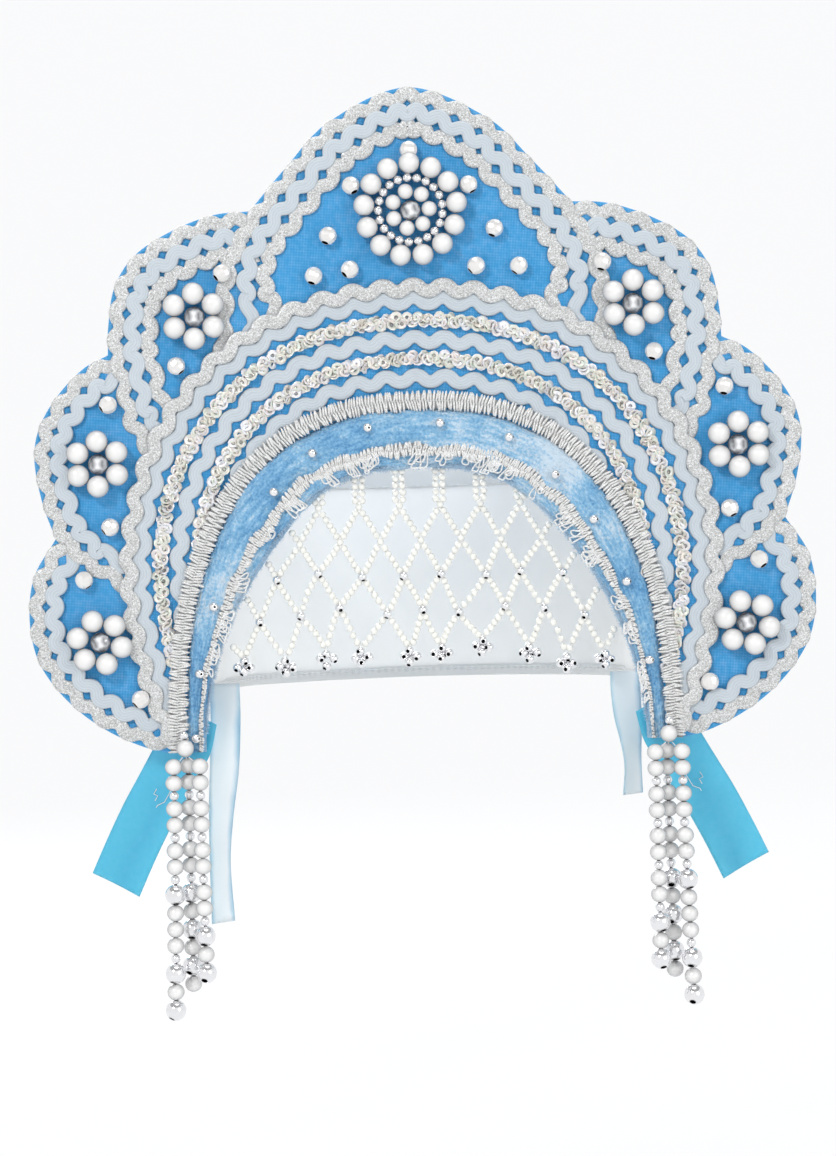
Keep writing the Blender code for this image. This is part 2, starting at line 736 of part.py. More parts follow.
def pale_ribbons():
    """A narrow sheer ribbon inside each front corner of the back panel, longer on the left."""
    for side, sign, length in (
        ("left", -1, PALE_RIBBON_LONG), ("right", 1, PALE_RIBBON_SHORT)
    ):
        edge = PANEL_HALF_WIDTH - CLOTH_THICKNESS / 2 - CLEARANCE
        half = PALE_RIBBON_WIDTH / 2
        start = Vector((
            sign * (edge - half), BAND_BACK + 4 * RIBBON_THICKNESS,
            PANEL_RISE - PANEL_HEIGHT + half,
        ))
        sections = []
        for drop, out, turn in PALE_ROUTE:
            angle = math.radians(turn)
            wide = Vector((math.cos(angle), math.sin(angle), 0)) * half
            thick = Vector((-math.sin(angle), math.cos(angle), 0)) * RIBBON_THICKNESS / 2
            middle = start + Vector((sign * out, 0, -drop)) * length
            sections.append([
                middle - wide - thick, middle + wide - thick,
                middle + wide + thick, middle - wide + thick,
            ])
        name = f"pale_ribbon_{side}"
        place(name, loft(name, sections), SHEER_CLOTH)


crown_board()
padded_band()
inner_braid()
rows_of_trim()
flowers_and_medallion()
pendants()
bead_net()
back_panel()
tie_ribbons()
pale_ribbons()
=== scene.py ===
"""The looks of a scalloped festive headdress: cloth, braids, sequins, pearls, net and ribbons."""

import math
import random

import bmesh
import bpy
import numpy as np
from mathutils import Matrix, Vector, noise


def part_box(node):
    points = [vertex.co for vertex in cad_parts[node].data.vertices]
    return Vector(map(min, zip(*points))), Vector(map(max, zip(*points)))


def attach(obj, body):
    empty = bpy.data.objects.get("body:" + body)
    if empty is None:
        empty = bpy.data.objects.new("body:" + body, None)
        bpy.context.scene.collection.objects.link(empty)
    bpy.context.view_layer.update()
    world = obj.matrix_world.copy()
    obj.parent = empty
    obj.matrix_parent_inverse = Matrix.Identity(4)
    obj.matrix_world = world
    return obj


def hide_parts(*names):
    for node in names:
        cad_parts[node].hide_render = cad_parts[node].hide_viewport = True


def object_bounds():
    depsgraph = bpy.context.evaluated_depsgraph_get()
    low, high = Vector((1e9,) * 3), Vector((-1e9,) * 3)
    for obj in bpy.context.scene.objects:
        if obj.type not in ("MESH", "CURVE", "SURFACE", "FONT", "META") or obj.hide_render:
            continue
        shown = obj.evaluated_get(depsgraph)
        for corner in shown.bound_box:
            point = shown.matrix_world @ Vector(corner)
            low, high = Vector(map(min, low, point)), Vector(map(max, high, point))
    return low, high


bl_info = {
    "name": "Scalloped Headdress Finish",
    "version": (1, 0, 0),
    "blender": (4, 5, 0),
    "location": "View3D > Sidebar > Headdress",
    "description": "Dresses a scalloped headdress in cloth, braid, sequins, pearls and ribbons",
    "category": "Object",
}

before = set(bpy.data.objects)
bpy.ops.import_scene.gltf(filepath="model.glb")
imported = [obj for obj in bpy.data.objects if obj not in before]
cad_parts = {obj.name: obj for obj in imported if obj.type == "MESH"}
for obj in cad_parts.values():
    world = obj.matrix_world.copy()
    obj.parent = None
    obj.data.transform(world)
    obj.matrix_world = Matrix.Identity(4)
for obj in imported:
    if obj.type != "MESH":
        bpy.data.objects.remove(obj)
CAD_BOX = [list(corner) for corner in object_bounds()]

MM = 0.001
BODY = "root"
SIDES = (("left", -1), ("right", 1))
QUARTER_TURN = math.radians(90)

# Places read from the solids
BOARD_LOW, BOARD_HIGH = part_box("crown_board")
BAND_LOW, BAND_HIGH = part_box("padded_band")
PANEL_LOW, PANEL_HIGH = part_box("back_panel")
FACE_Y = BOARD_LOW.y
BACK_Y = BOARD_HIGH.y
HALF_WIDTH = BOARD_HIGH.x
FEET = BOARD_LOW.z
CROWN_HEIGHT = BOARD_HIGH.z - FEET
SEAM_HALF_WIDTH = BAND_HIGH.x
SEAM_RISE = BAND_HIGH.z - FEET
MID_Y = (FACE_Y + BACK_Y) / 2
BAND_FRONT = MID_Y - BAND_LOW.y
BAND_BACK = BAND_HIGH.y - MID_Y

# Form of the arch and its band, as the solids have it
ARCH_POWER = 2.45
BAND_TAPER = 0.6
BAND_FOOT_DEPTH = 0.6
BAND_WIDTH_TOP = 22.0 * MM
BAND_WIDTH_FOOT = 6.0 * MM
ROW_CONVERGE = 47.5 * MM

# Half of the board's outline, peak to foot. Columns: share of the half width, share of the height.
CENTRAL_LOBE = ((0.0, 1.0), (0.198, 0.952), (0.313, 0.884), (0.409, 0.819))
UPPER_LOBE = (
    (0.409, 0.819), (0.500, 0.815), (0.604, 0.794), (0.703, 0.758),
    (0.758, 0.710), (0.777, 0.650), (0.780, 0.607),
)
MIDDLE_LOBE = (
    (0.780, 0.607), (0.845, 0.587), (0.915, 0.545), (0.962, 0.497),
    (0.975, 0.448), (0.958, 0.385), (0.927, 0.330),
)
# The lower lobe's first column is a share of the way from the seam to the board's widest point.
LOWER_LOBE = (
    (0.818, 0.330), (0.960, 0.275), (1.000, 0.215), (0.966, 0.155),
    (0.861, 0.108), (0.699, 0.066), (0.513, 0.034), (0.312, 0.011), (0.150, 0.0),
)

# Where the edge braid of a lobe runs on past the notch, in to the rows round the arch. Columns as above.
CENTRAL_TAIL = (
    (0.449, 0.785), (0.483, 0.741), (0.500, 0.700), (0.501, 0.663), (0.508, 0.626), (0.520, 0.590),
)
UPPER_TAIL = ((0.768, 0.570), (0.758, 0.533), (0.746, 0.500), (0.718, 0.470), (0.690, 0.440))
MIDDLE_TAIL = ((0.898, 0.306), (0.858, 0.280), (0.820, 0.267), (0.786, 0.252), (0.740, 0.236))

# Braids inside each lobe's edge. Columns: finish, row from the edge, phase in half waves, lift in
# braid thicknesses.
CENTRAL_ROWS = (("silver", 0, 0, 0.2), ("white", 1, 1, 0.8), ("silver", 2, 0, 0.3))
SIDE_ROWS = (("silver", 0, 0, 0.2), ("white", 1, 1, 0.8))
# Lobes. Columns: name, outline, tail, rows, how much further apart the rows run on the tail. The
# central lobe runs over both halves of the board, the others are mirrored.
LOBES = (
    ("central", CENTRAL_LOBE, CENTRAL_TAIL, CENTRAL_ROWS, 0.75),
    ("upper", UPPER_LOBE, UPPER_TAIL, CENTRAL_ROWS, 0.25),
    ("middle", MIDDLE_LOBE, MIDDLE_TAIL, SIDE_ROWS, 0.0),
    ("lower", LOWER_LOBE, (), SIDE_ROWS, 0.0),
)
# How deep a lobe's braid dips at its ends, in braid thicknesses
END_DIP = 0.4
# Sections of a wavy braid to one wave
WAVE_STEPS = 18

# Section of the padded band. Columns: share of its width, share of its front or back depth.
BAND_SECTION = (
    (0.00, -0.45), (0.18, -0.90), (0.50, -1.00), (0.82, -0.93), (0.97, -0.50), (1.00, 0.02),
    (0.97, 0.55), (0.60, 1.00), (0.18, 1.0), (0.00, 0.75), (-0.005, 0.15),
)
# How far the plush laps over the seam on to the board's face
BAND_SPILL = 1.8 * MM
LIP_FIBRES = 3800
# Rise of the looped braids' loops, in millimetres
LOOP_RISE = 0.75
# The looped braid near the lip: its middle and half its width as shares of the band's width, its
# width over the seam braid's, and how many clusters of loops have slipped out of it
LIP_BRAID_SHARE = 0.69
LIP_BRAID_HALF = 0.11
LIP_BRAID_SIZE = 0.66
SLIPPED_LOOPS = 34
# Section of a wavy braid. Columns: share of its width, share of its thickness.
BRAID_SECTION = (
    (-0.50, 0.0), (-0.50, 0.45), (-0.45, 0.80), (-0.30, 1.0), (-0.10, 0.93),
    (0.10, 0.93), (0.30, 1.0), (0.45, 0.80), (0.50, 0.45), (0.50, 0.0),
)

# Pearl flowers. Columns: name, share of the half width, share of the height, turn in degrees.
FLOWERS = (
    ("upper", 0.556, 0.660, 0.0),
    ("middle", 0.811, 0.441, 0.0),
    ("lower", 0.819, 0.171, 17.0),
)
FLOWER_PEARLS = 6
MEDALLION_UP = 0.811
# Rings of the medallion. Columns: finish, count, ring radius, bead diameter, lift, turn in degrees.
MEDALLION_RINGS = (
    ("pearl", 13, 19.1 * MM, 8.8 * MM, 0.3 * MM, 0.0),
    ("silver", 21, 13.2 * MM, 3.95 * MM, 1.4 * MM, 4.0),
    ("pearl", 7, 7.7 * MM, 6.4 * MM, 1.0 * MM, 14.0),
)
# Small studs on the blue fields. Columns: share of the half width, share of the height.
STUDS = (
    (0.000, 0.902), (0.149, 0.847), (-0.149, 0.851), (0.211, 0.780), (-0.211, 0.776),
    (0.162, 0.724), (-0.158, 0.724), (0.270, 0.722), (-0.250, 0.716),
    (0.482, 0.724), (-0.482, 0.724), (0.605, 0.586), (-0.605, 0.586),
    (0.781, 0.530), (-0.781, 0.530), (0.785, 0.345), (-0.785, 0.345),
    (0.855, 0.266), (-0.855, 0.266), (0.721, 0.083), (-0.721, 0.083),
)
# Small silver beads on the band, as shares of the half arch from its top, left to right.
BAND_BEADS = (-0.97, -0.83, -0.68, -0.38, -0.25, -0.11, 0.05, 0.21, 0.35, 0.49, 0.65, 0.83)

# Bead strands on each side. Columns: name, beads from the top (P pearl, S small silver bead,
# B silver ball), place across and in depth in pearl diameters, sideways and forward sway at the end.
STRANDS = (
    ("outer", "PPSPPSPPSBPPPSBPB", 0.68, -0.30, 0.30, -0.10),
    ("middle", "PPSPPSPPSBPBPBP", -0.10, 0.52, 0.10, 0.10),
    ("inner", "PPSPPSPPSPPSBPB", -0.84, -0.34, -0.05, -0.15),
)
STRAND_PEARL = 7.0 * MM
# Beads of a strand. Columns: length along the thread, diameter.
STRAND_SIZES = {"P": (6.6 * MM, STRAND_PEARL), "B": (8.3 * MM, 8.3 * MM), "S": (3.8 * MM, 3.8 * MM)}
# How the beads of a strand lean. Columns: least and most about X, least and most about Y, in radians.
STRAND_LEANS = {
    "P": ((-0.16, 0.16), (-0.16, 0.16)),
    "S": ((-0.16, 0.16), (-0.16, 0.16)),
    "B": ((-0.85, -0.4), (-0.45, 0.45)),
}
# Thread above the first bead, in pearls, and how far the strands are spread at its top, as a share
STRAND_LEAD = 0.06
STRAND_START = 0.25
# How a strand's sway grows. Columns: share of its length, share of the sway.
STRAND_ROUTE = ((0.0, 0.0), (0.3, 0.12), (0.65, 0.55), (1.0, 1.0))

# How a tie ribbon hangs. Columns: share of its length, share across, share to the back.
RIBBON_ROUTE = (
    (0.00, 0.00, 0.00), (0.16, 0.04, 0.00), (0.30, 0.12, 0.05), (0.45, 0.21, 0.12),
    (0.60, 0.30, 0.17), (0.80, 0.405, 0.21), (1.00, 0.50, 0.23),
)
RIBBON_WIDTH = 22.0 * MM
RIBBON_LENGTH = 72.0 * MM
PALE_WIDTH = 12.4 * MM
# Thickness of the cloths, and how far the hems and their stitches stand off the panel
PANEL_THICKNESS = 0.7 * MM
HEM_THICKNESS = 0.5 * MM
HEM_OUT = 0.62 * MM
STITCH_OUT = 0.92 * MM
STITCH_STEP = 3.4 * MM
SATIN_THICKNESS = 0.45 * MM
PALE_THICKNESS = 0.4 * MM
# Loose stitches on a tie ribbon. Columns: shares of its length at either end, shares of its width
# at either end.
RIBBON_STITCHES = ((0.47, 0.60, 0.36, 0.38), (0.50, 0.56, 0.62, 0.48))
# How a pale ribbon hangs. Columns: share of its length, share across, turn of its width in degrees.
PALE_ROUTE = (
    (0.00, 0.00, 0.0), (0.15, 0.00, 4.0), (0.35, 0.01, 18.0), (0.55, 0.03, 40.0),
    (0.75, 0.04, 52.0), (1.00, 0.035, 45.0),
)

# The floor: how far it runs flat, the radius in which it rises, the height of the wall behind, and
# how far it lies under the lowest bead
FLOOR_REACH = 2.4
FLOOR_RISE = 1.4
WALL_HEIGHT = 3.2
FLOOR_DROP = 0.06
# Lamps. Columns: name, place, aim, size, power setting, share of that power, colour.
LAMPS = (
    ("key_light", (-0.75, -1.25, 0.85), (0, 0, 0), 0.36, "key", 1.0, (1.0, 0.995, 0.99)),
    ("fill_light", (1.05, -1.15, 0.25), (0, 0, 0), 0.9, "fill", 1.0, (0.99, 0.995, 1.0)),
    ("low_light", (0.1, -1.3, -0.75), (0, 0.05, -0.05), 0.9, "fill", 0.4, (1.0, 1.0, 1.0)),
    ("top_light", (0.1, -0.1, 1.35), (0, 0, 0), 1.0, "top", 1.0, (1.0, 1.0, 1.0)),
    ("back_light", (-0.4, 1.2, 0.7), (0, 0, 0), 0.9, "back", 1.0, (1.0, 1.0, 1.0)),
)

# Net of strung pearls
NET_PITCH = 16.6 * MM
NET_ROW = 14.4 * MM
NET_FIRST_ROW = 15.6 * MM
NET_ROWS = 4
# Beads of a drop under the net, in bead diameters. Columns: across, up, forward.
NET_DROP = (
    (0.0, -0.95, 0.1), (-0.72, -1.55, 0.1), (0.70, -1.60, 0.0), (0.0, -2.15, 0.35), (0.05, -1.7, -0.5),
)


def srgb(red, green, blue):
    """A linear colour from 8-bit display values."""
    shares = [value / 255 for value in (red, green, blue)]
    return tuple(s / 12.92 if s <= 0.04045 else ((s + 0.055) / 1.055) ** 2.4 for s in shares)


# Tints over a ribbon's width. Columns: share of the width, colour. The satin's darker middle is painted
# shade along the crease of its curl; the pale ribbon's tints make its edges bluer.
SATIN_SHADE_TINTS = (
    (0.0, (1.0, 1.0, 1.0)), (0.38, (0.72, 0.85, 0.9)), (0.6, (0.86, 0.93, 0.95)), (1.0, (1.0, 1.0, 1.0)),
)
PALE_TINTS = (
    (0.0, srgb(150, 208, 232)), (0.16, srgb(236, 246, 250)), (0.78, srgb(250, 252, 253)),
    (1.0, srgb(132, 198, 228)),
)
# Tones of single sequins, dark to light: painted reflections and glints, each sequin catching the light or
# not, with the film's iridescent tints
SEQUIN_GLINT_TINTS = (
    srgb(186, 182, 180), srgb(248, 238, 226), srgb(226, 238, 228), srgb(252, 238, 232),
    srgb(232, 236, 246), srgb(254, 254, 253),
)
# Painted shade in a sequin's hole
PAINTED_HOLE_SHADE = srgb(62, 60, 58)
# A sequin's section. Columns: radius and height in diameters, place (1 film, 0 hole).
SEQUIN_SECTION = (
    (0.12, 0.02, 0.0), (0.31, 0.03, 0.9), (0.5, 0.14, 1.0), (0.5, 0.17, 1.0), (0.31, 0.06, 0.9),
    (0.12, 0.05, 0.0),
)
# A stone's cup. Columns as above.
CUP_SECTION = (
    (0.38, -0.05, 1.0), (0.46, -0.03, 1.0), (0.55, 0.10, 1.0), (0.53, 0.14, 1.0), (0.44, 0.05, 1.0),
)


def length_setting(name, description, default):
    return bpy.props.FloatProperty(
        name=name, description=description, default=default, min=0.0, unit="LENGTH", precision=5
    )


def power_setting(name, description, default):
    return bpy.props.FloatProperty(
        name=name, description=description, default=default, min=0.0, unit="POWER"
    )


def place_setting(name, description, default):
    return bpy.props.FloatProperty(name=name, description=description, default=default, unit="LENGTH")


def colour_setting(name, description, default):
    return bpy.props.FloatVectorProperty(
        name=name, description=description, default=default, size=3, min=0.0, max=1.0, subtype="COLOR"
    )


class ClothSettings(bpy.types.PropertyGroup):
    """Cloth of the board, the band, the back panel and the ribbons."""

    board: colour_setting("Board cloth", "Colour of the cloth on the board", srgb(44, 157, 221))
    plush: colour_setting("Plush", "Colour of the padded band", srgb(143, 192, 226))
    panel: colour_setting("Back panel", "Colour of the thin cloth at the back", srgb(250, 250, 249))
    satin: colour_setting("Satin ribbon", "Colour of the tie ribbons", srgb(80, 194, 228))
    pale: colour_setting("Pale ribbon", "Colour of the narrow ribbons", srgb(244, 248, 250))
    thread: length_setting("Thread size", "Distance between threads of the board's weave", 0.9 * MM)
    edge_round: length_setting("Edge rounding", "Rounding of the covered board's edge", 1.1 * MM)
    hem: length_setting("Hem", "Height of the panel's lower hem", 5.0 * MM)
    top_hem: length_setting("Top hem", "Height of the panel's upper hem", 9.0 * MM)
    pleat: length_setting("Pleat", "Depth of the folds along the padded band", 1.0 * MM)


class TrimSettings(bpy.types.PropertyGroup):
    """Braids and sequins."""

    white: colour_setting("White braid", "Colour of the white wavy braid", srgb(196, 205, 213))
    silver: colour_setting("Silver braid", "Colour of the glittering braid", srgb(203, 205, 206))
    sequin: colour_setting("Sequins", "Colour of the sequin strings", srgb(238, 236, 230))
    width: length_setting("Braid width", "Width of a wavy braid", 5.6 * MM)
    thickness: length_setting("Braid thickness", "Thickness of a wavy braid", 1.25 * MM)
    swing: length_setting("Wave swing", "How far a wave swings to either side", 1.4 * MM)
    wave: length_setting("Wave length", "Length of one wave", 12.2 * MM)
    inset: length_setting("Edge inset", "From the board's edge to the middle of the first braid", 3.9 * MM)
    spacing: length_setting("Row spacing", "Between the braids of a lobe", 6.6 * MM)
    border: length_setting("Border row", "From the seam to the glittering row, at the top", 51.4 * MM)
    sequin_size: length_setting("Sequin size", "Diameter of a sequin", 4.9 * MM)
    sequin_row: length_setting("Sequin row", "Width of a sequin string", 5.8 * MM)
    sequin_step: length_setting("Sequin step", "From sequin to sequin along the string", 1.1 * MM)
    gimp: length_setting("Gimp width", "Width of the looped braid on the seam", 7.0 * MM)
    loop: length_setting("Loop spacing", "Between the loops of the seam's braid", 1.12 * MM)


class BeadSettings(bpy.types.PropertyGroup):
    """Pearls, silver beads and stones."""

    pearl: colour_setting("Pearl", "Colour of the pearls", srgb(243, 242, 241))
    cream: colour_setting("Net pearl", "Colour of the net's small pearls", srgb(249, 248, 243))
    chrome: colour_setting("Silver bead", "Colour of the silvered beads", srgb(238, 238, 240))
    flower_pearl: length_setting("Flower pearl", "Diameter of a flower's pearls", 9.2 * MM)
    stone: length_setting("Stone", "Diameter of the cut stones", 7.8 * MM)
    stud: length_setting("Stud", "Diameter of the small studs", 7.5 * MM)
    band_bead: length_setting("Band bead", "Diameter of the beads on the band", 3.9 * MM)
    net_pearl: length_setting("Net pearl size", "Diameter of the net's pearls", 2.85 * MM)
    knot_bead: length_setting("Knot bead", "Diameter of the silver beads on the net", 3.9 * MM)
    hanger: length_setting("Hanger pearl", "Diameter of the pearl over the strands", 7.2 * MM)


class StageSettings(bpy.types.PropertyGroup):
    """Camera, floor and lights."""

    distance: length_setting("Camera distance", "From the camera to the board's face", 1.05)
    centre_x: place_setting("Centre across", "What the camera looks at, across", -1.6 * MM)
    centre_z: place_setting("Centre height", "What the camera looks at, up", -45.5 * MM)
    lens: bpy.props.FloatProperty(
        name="Lens", description="Focal length", default=79.75, min=1.0, unit="CAMERA"
    )
    roll: bpy.props.FloatProperty(
        name="Roll", description="Turn of the camera about its view", default=math.radians(1.8),
        subtype="ANGLE", unit="ROTATION",
    )
    key: power_setting("Key light", "Power of the key light", 10.0)
    fill: power_setting("Fill light", "Power of the fill light", 5.5)
    top: power_setting("Top light", "Power of the top light", 8.0)
    back: power_setting("Back light", "Power of the light behind", 17.0)
    sky: bpy.props.FloatProperty(name="Sky", description="Strength of the even light", default=0.4, min=0.0)


def unit(vectors):
    """The vectors at a length of 1."""
    return vectors / np.linalg.norm(vectors, axis=-1, keepdims=True)


class Route:
    """A line in the plane of the face, read by the distance along it."""

    def __init__(self, points):
        self.points = np.asarray(points, float)
        steps = np.linalg.norm(np.diff(self.points, axis=0), axis=1)
        self.points = self.points[np.concatenate([[True], steps > 1e-7])]
        steps = np.linalg.norm(np.diff(self.points, axis=0), axis=1)
        self.reached = np.concatenate([[0.0], np.cumsum(steps)])
        self.length = self.reached[-1]
        self.ahead = unit(np.gradient(self.points, self.reached, axis=0))

    def at(self, distances):
        """Points there, and the directions to the line's left."""
        read = [np.interp(distances, self.reached, self.points[:, i]) for i in (0, 1)]
        ahead = [np.interp(distances, self.reached, self.ahead[:, i]) for i in (0, 1)]
        return np.column_stack(read), unit(np.column_stack([-ahead[1], ahead[0]]))

    def beside(self, distances, offset):
        """Points so far to the line's left."""
        points, left = self.at(distances)
        return points + left * np.reshape(offset, (-1, 1))


def smooth_line(points, steps=10):
    """A Catmull-Rom curve through the points."""
    rows = np.asarray(points, float)
    rows = np.vstack([2 * rows[0] - rows[1], rows, 2 * rows[-1] - rows[-2]])
    t = (np.arange(steps) / steps)[:, None]
    curve = [
        0.5 * (2 * b + (c - a) * t + (2 * a - 5 * b + 4 * c - d) * t**2 + (3 * b - a - 3 * c + d) * t**3)
        for a, b, c, d in zip(rows, rows[1:], rows[2:], rows[3:])
    ]
    return np.vstack([*curve, rows[-2]])


def smooth_loop(points, steps=4):
    """A closed Catmull-Rom curve through the points."""
    rows = list(points)
    line = smooth_line([rows[-1], *rows, rows[0], rows[1]], steps)
    return line[steps:-2 * steps]


def smoothstep(share):
    share = np.clip(share, 0.0, 1.0)
    return share * share * (3 - 2 * share)


def seam_route():
    """The seam between board and band, left foot to right foot, as a superellipse."""
    angle = math.pi * (1 - np.arange(481) / 480)
    across, up = np.cos(angle), np.maximum(np.sin(angle), 0.0)
    x = np.sign(across) * np.abs(across) ** (2 / ARCH_POWER) * SEAM_HALF_WIDTH
    return Route(np.column_stack([x, FEET + up ** (2 / ARCH_POWER) * SEAM_RISE]))


SEAM = seam_route()
HALF_ARCH = SEAM.length / 2


def band_share(distance):
    return smoothstep(np.minimum(distance, SEAM.length - distance) / (BAND_TAPER * HALF_ARCH))


def band_width(distance):
    return BAND_WIDTH_FOOT + (BAND_WIDTH_TOP - BAND_WIDTH_FOOT) * band_share(distance)


def band_depth(distance):
    return BAND_FOOT_DEPTH + (1 - BAND_FOOT_DEPTH) * band_share(distance)


def off_seam(points):
    """How far outside the seam each point lies, and where along it; inside counts below zero."""
    points = np.asarray(points, float)
    apart = np.linalg.norm(points[:, None, :] - SEAM.points[None, :, :], axis=2)
    nearest = apart.argmin(axis=1)
    left = np.column_stack([-SEAM.ahead[nearest, 1], SEAM.ahead[nearest, 0]])
    side = np.sign(((points - SEAM.points[nearest]) * left).sum(axis=1))
    return apart.min(axis=1) * side, SEAM.reached[nearest]


def row_offset(stack, distance):
    """How far outside the seam a row runs there, from its place at the top of the arch."""
    return stack - ROW_CONVERGE * (np.abs(distance - HALF_ARCH) / HALF_ARCH) ** 2


def row_route(stack, nearest):
    """A row round the arch, whose ends run in as near the seam as given."""
    reach = HALF_ARCH * min(math.sqrt(max(stack - nearest, 0.0) / ROW_CONVERGE), 1.0)
    along = np.linspace(HALF_ARCH - reach, HALF_ARCH + reach, 400)
    return Route(SEAM.beside(along, row_offset(stack, along)))


def outline_points(rows, lower=False):
    """Outline shares as places on the face."""
    rows = np.asarray(rows, float)
    across = rows[:, 0] * HALF_WIDTH
    if lower:
        across = SEAM_HALF_WIDTH + rows[:, 0] * (HALF_WIDTH - SEAM_HALF_WIDTH)
    return np.column_stack([across, FEET + rows[:, 1] * CROWN_HEIGHT])


def both_sides(points):
    """A half line from the middle outwards, with its mirrored half in front of it."""
    return np.vstack([points[:0:-1] * (-1, 1), points])


def outline_half(steps=10):
    """The board's outline, peak to right foot."""
    central = both_sides(outline_points(CENTRAL_LOBE))
    lobes = [smooth_line(central, steps)[len(central) // 2 * steps:]]
    lobes += [smooth_line(outline_points(lobe), steps) for lobe in (UPPER_LOBE, MIDDLE_LOBE)]
    lobes.append(smooth_line(outline_points(LOWER_LOBE, lower=True), steps))
    return np.vstack([lobe[:-1] for lobe in lobes] + [lobes[-1][-1:]])


def on_face(points, lift):
    """Places in space of points on the face, lifted towards the viewer."""
    points = np.asarray(points, float)
    lift = np.broadcast_to(lift, len(points))
    return np.column_stack([points[:, 0], FACE_Y - lift, points[:, 1]])


class Shape:
    """Points, faces, texture places and material numbers gathered for one mesh."""

    def __init__(self):
        self.points, self.places, self.faces, self.numbers = [], [], [], []
        self.count = 0

    def add(self, points, faces, places=None, number=0):
        points = np.asarray(points, float).reshape(-1, 3)
        places = np.zeros((len(points), 2)) if places is None else np.asarray(places, float).reshape(-1, 2)
        self.points.append(points)
        self.places.append(places)
        faces = np.asarray(faces, int) + self.count
        self.faces += faces.tolist()
        self.numbers += [number] * len(faces)
        self.count += len(points)

    def rings(self, rings, places, closed=True, ends=True, number=0):
        """A skin over rings of as many points each, with a fan over each open end."""
        rings = np.asarray(rings, float)
        n, k = rings.shape[:2]
        i, j = np.meshgrid(np.arange(n - 1), np.arange(k if closed else k - 1), indexing="ij")
        a, b = i * k + j, i * k + (j + 1) % k
        self.add(rings, np.stack([a, a + k, b + k, b], axis=-1).reshape(-1, 4), places, number)
        if not (ends and closed):
            return
        for ring, place, order in ((rings[0], places[0], 1), (rings[-1], places[-1], -1)):
            fan = np.vstack([ring, ring.mean(axis=0)])
            ids = np.arange(k)
            faces = np.column_stack([ids, np.roll(ids, -1), np.full(k, k)])[:, ::order]
            self.add(fan, faces, np.vstack([place, place.mean(axis=0)]), number)

    def copies(self, base, turns, centres, places=None, number=0):
        """A base form once for each turn (a 3 by 3 matrix of scaled axes) and centre."""
        points, faces, own = base
        turns, centres = np.asarray(turns, float), np.asarray(centres, float)
        m, k = len(centres), len(points)
        if not m:
            return
        moved = np.einsum("mij,kj->mki", turns, points) + centres[:, None, :]
        spread = np.repeat(np.asarray(own)[None, :, :], m, axis=0)
        if places is not None:
            spread[:, :, 0] = np.asarray(places).reshape(-1, 1)
        steps = np.arange(m)[:, None, None] * k
        for size in (3, 4):
            same = [face for face in faces if len(face) == size]
            if same:
                joined = (np.asarray(same)[None, :, :] + steps).reshape(-1, size)
                self.faces += (joined + self.count).tolist()
                self.numbers += [number] * len(joined)
        self.points.append(moved.reshape(-1, 3))
        self.places.append(spread.reshape(-1, 2))
        self.count += m * k

    def build(self, name, materials, slot, replaces=(), flat=False, sharp=None):
        """The piece as an object that rides with the body."""
        mesh = bpy.data.meshes.new(name)
        mesh.from_pydata(np.vstack(self.points).tolist(), [], self.faces)
        layer = mesh.uv_layers.new(name="places")
        corners = np.empty(len(mesh.loops), np.int32)
        mesh.loops.foreach_get("vertex_index", corners)
        layer.data.foreach_set("uv", np.vstack(self.places)[corners].astype(np.float32).ravel())
        mesh.polygons.foreach_set("material_index", np.asarray(self.numbers, np.int32))
        mesh.polygons.foreach_set("use_smooth", np.full(len(self.faces), not flat))
        if sharp is not None:
            mesh.set_sharp_from_angle(angle=math.radians(sharp))
        mesh.update()
        return dress(name, mesh, materials, replaces)


def strewn(name, form, turns, centres, materials, slot, replaces=(), tones=None, flat=False):
    """One piece of a form at many places."""
    shape = Shape()
    shape.copies(form, turns, centres, tones)
    return shape.build(name, materials, slot, replaces, flat=flat)


def placed(name, data):
    """An object for the data, in the scene."""
    made = bpy.data.objects.new(name, data)
    bpy.context.scene.collection.objects.link(made)
    return made


def dress(name, mesh, materials, replaces=()):
    """An object for the mesh, with its finish and the solids that it stands for."""
    for material in materials:
        mesh.materials.append(material)
    piece = placed(name, mesh)
    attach(piece, BODY)
    if replaces:
        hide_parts(*replaces)
    return piece


def ball(sides, rings, hole=0.0):
    """A round bead of diameter 1 along local Z. Texture place: tone, and 1 on the skin or 0 in the hole."""
    top = math.asin(min(2 * hole, 1.0)) if hole else 0.0
    angles = np.linspace(top, math.pi - top, rings + 1)
    rows = [(math.sin(a) / 2, math.cos(a) / 2, 1.0) for a in angles]
    if hole:
        deep = rows[0][1] * 0.55
        rows = [(hole * 0.9, deep, 0.0), (hole, rows[0][1] * 0.93, 0.0), *rows,
                (hole, -rows[0][1] * 0.93, 0.0), (hole * 0.9, -deep, 0.0)]
    return turned(rows, sides)


def turned(rows, sides):
    """A turned form. Rows hold radius, height and the second texture place; a radius of 0 is a pole."""
    points, faces, places = [], [], []
    starts = []
    for radius, height, place in rows:
        starts.append(len(points))
        count = 1 if radius < 1e-9 else sides
        for i in range(count):
            angle = 2 * math.pi * i / sides
            points.append((radius * math.cos(angle), radius * math.sin(angle), height))
            places.append((0.5, place))
    for (r0, _, _), (r1, _, _), a, b in zip(rows, rows[1:], starts, starts[1:]):
        for i in range(sides):
            j = (i + 1) % sides
            if r0 < 1e-9:
                faces.append((a, b + i, b + j))
            elif r1 < 1e-9:
                faces.append((a + i, b, a + j))
            else:
                faces.append((a + i, b + i, b + j, a + j))
    for row, start, order in ((rows[0], starts[0], 1), (rows[-1], starts[-1], -1)):
        if row[0] >= 1e-9:
            middle = len(points)
            points.append((0.0, 0.0, row[1]))
            places.append((0.5, row[2]))
            for i in range(sides):
                faces.append((middle, start + i, start + (i + 1) % sides)[::order])
    return np.array(points), faces, np.array(places)


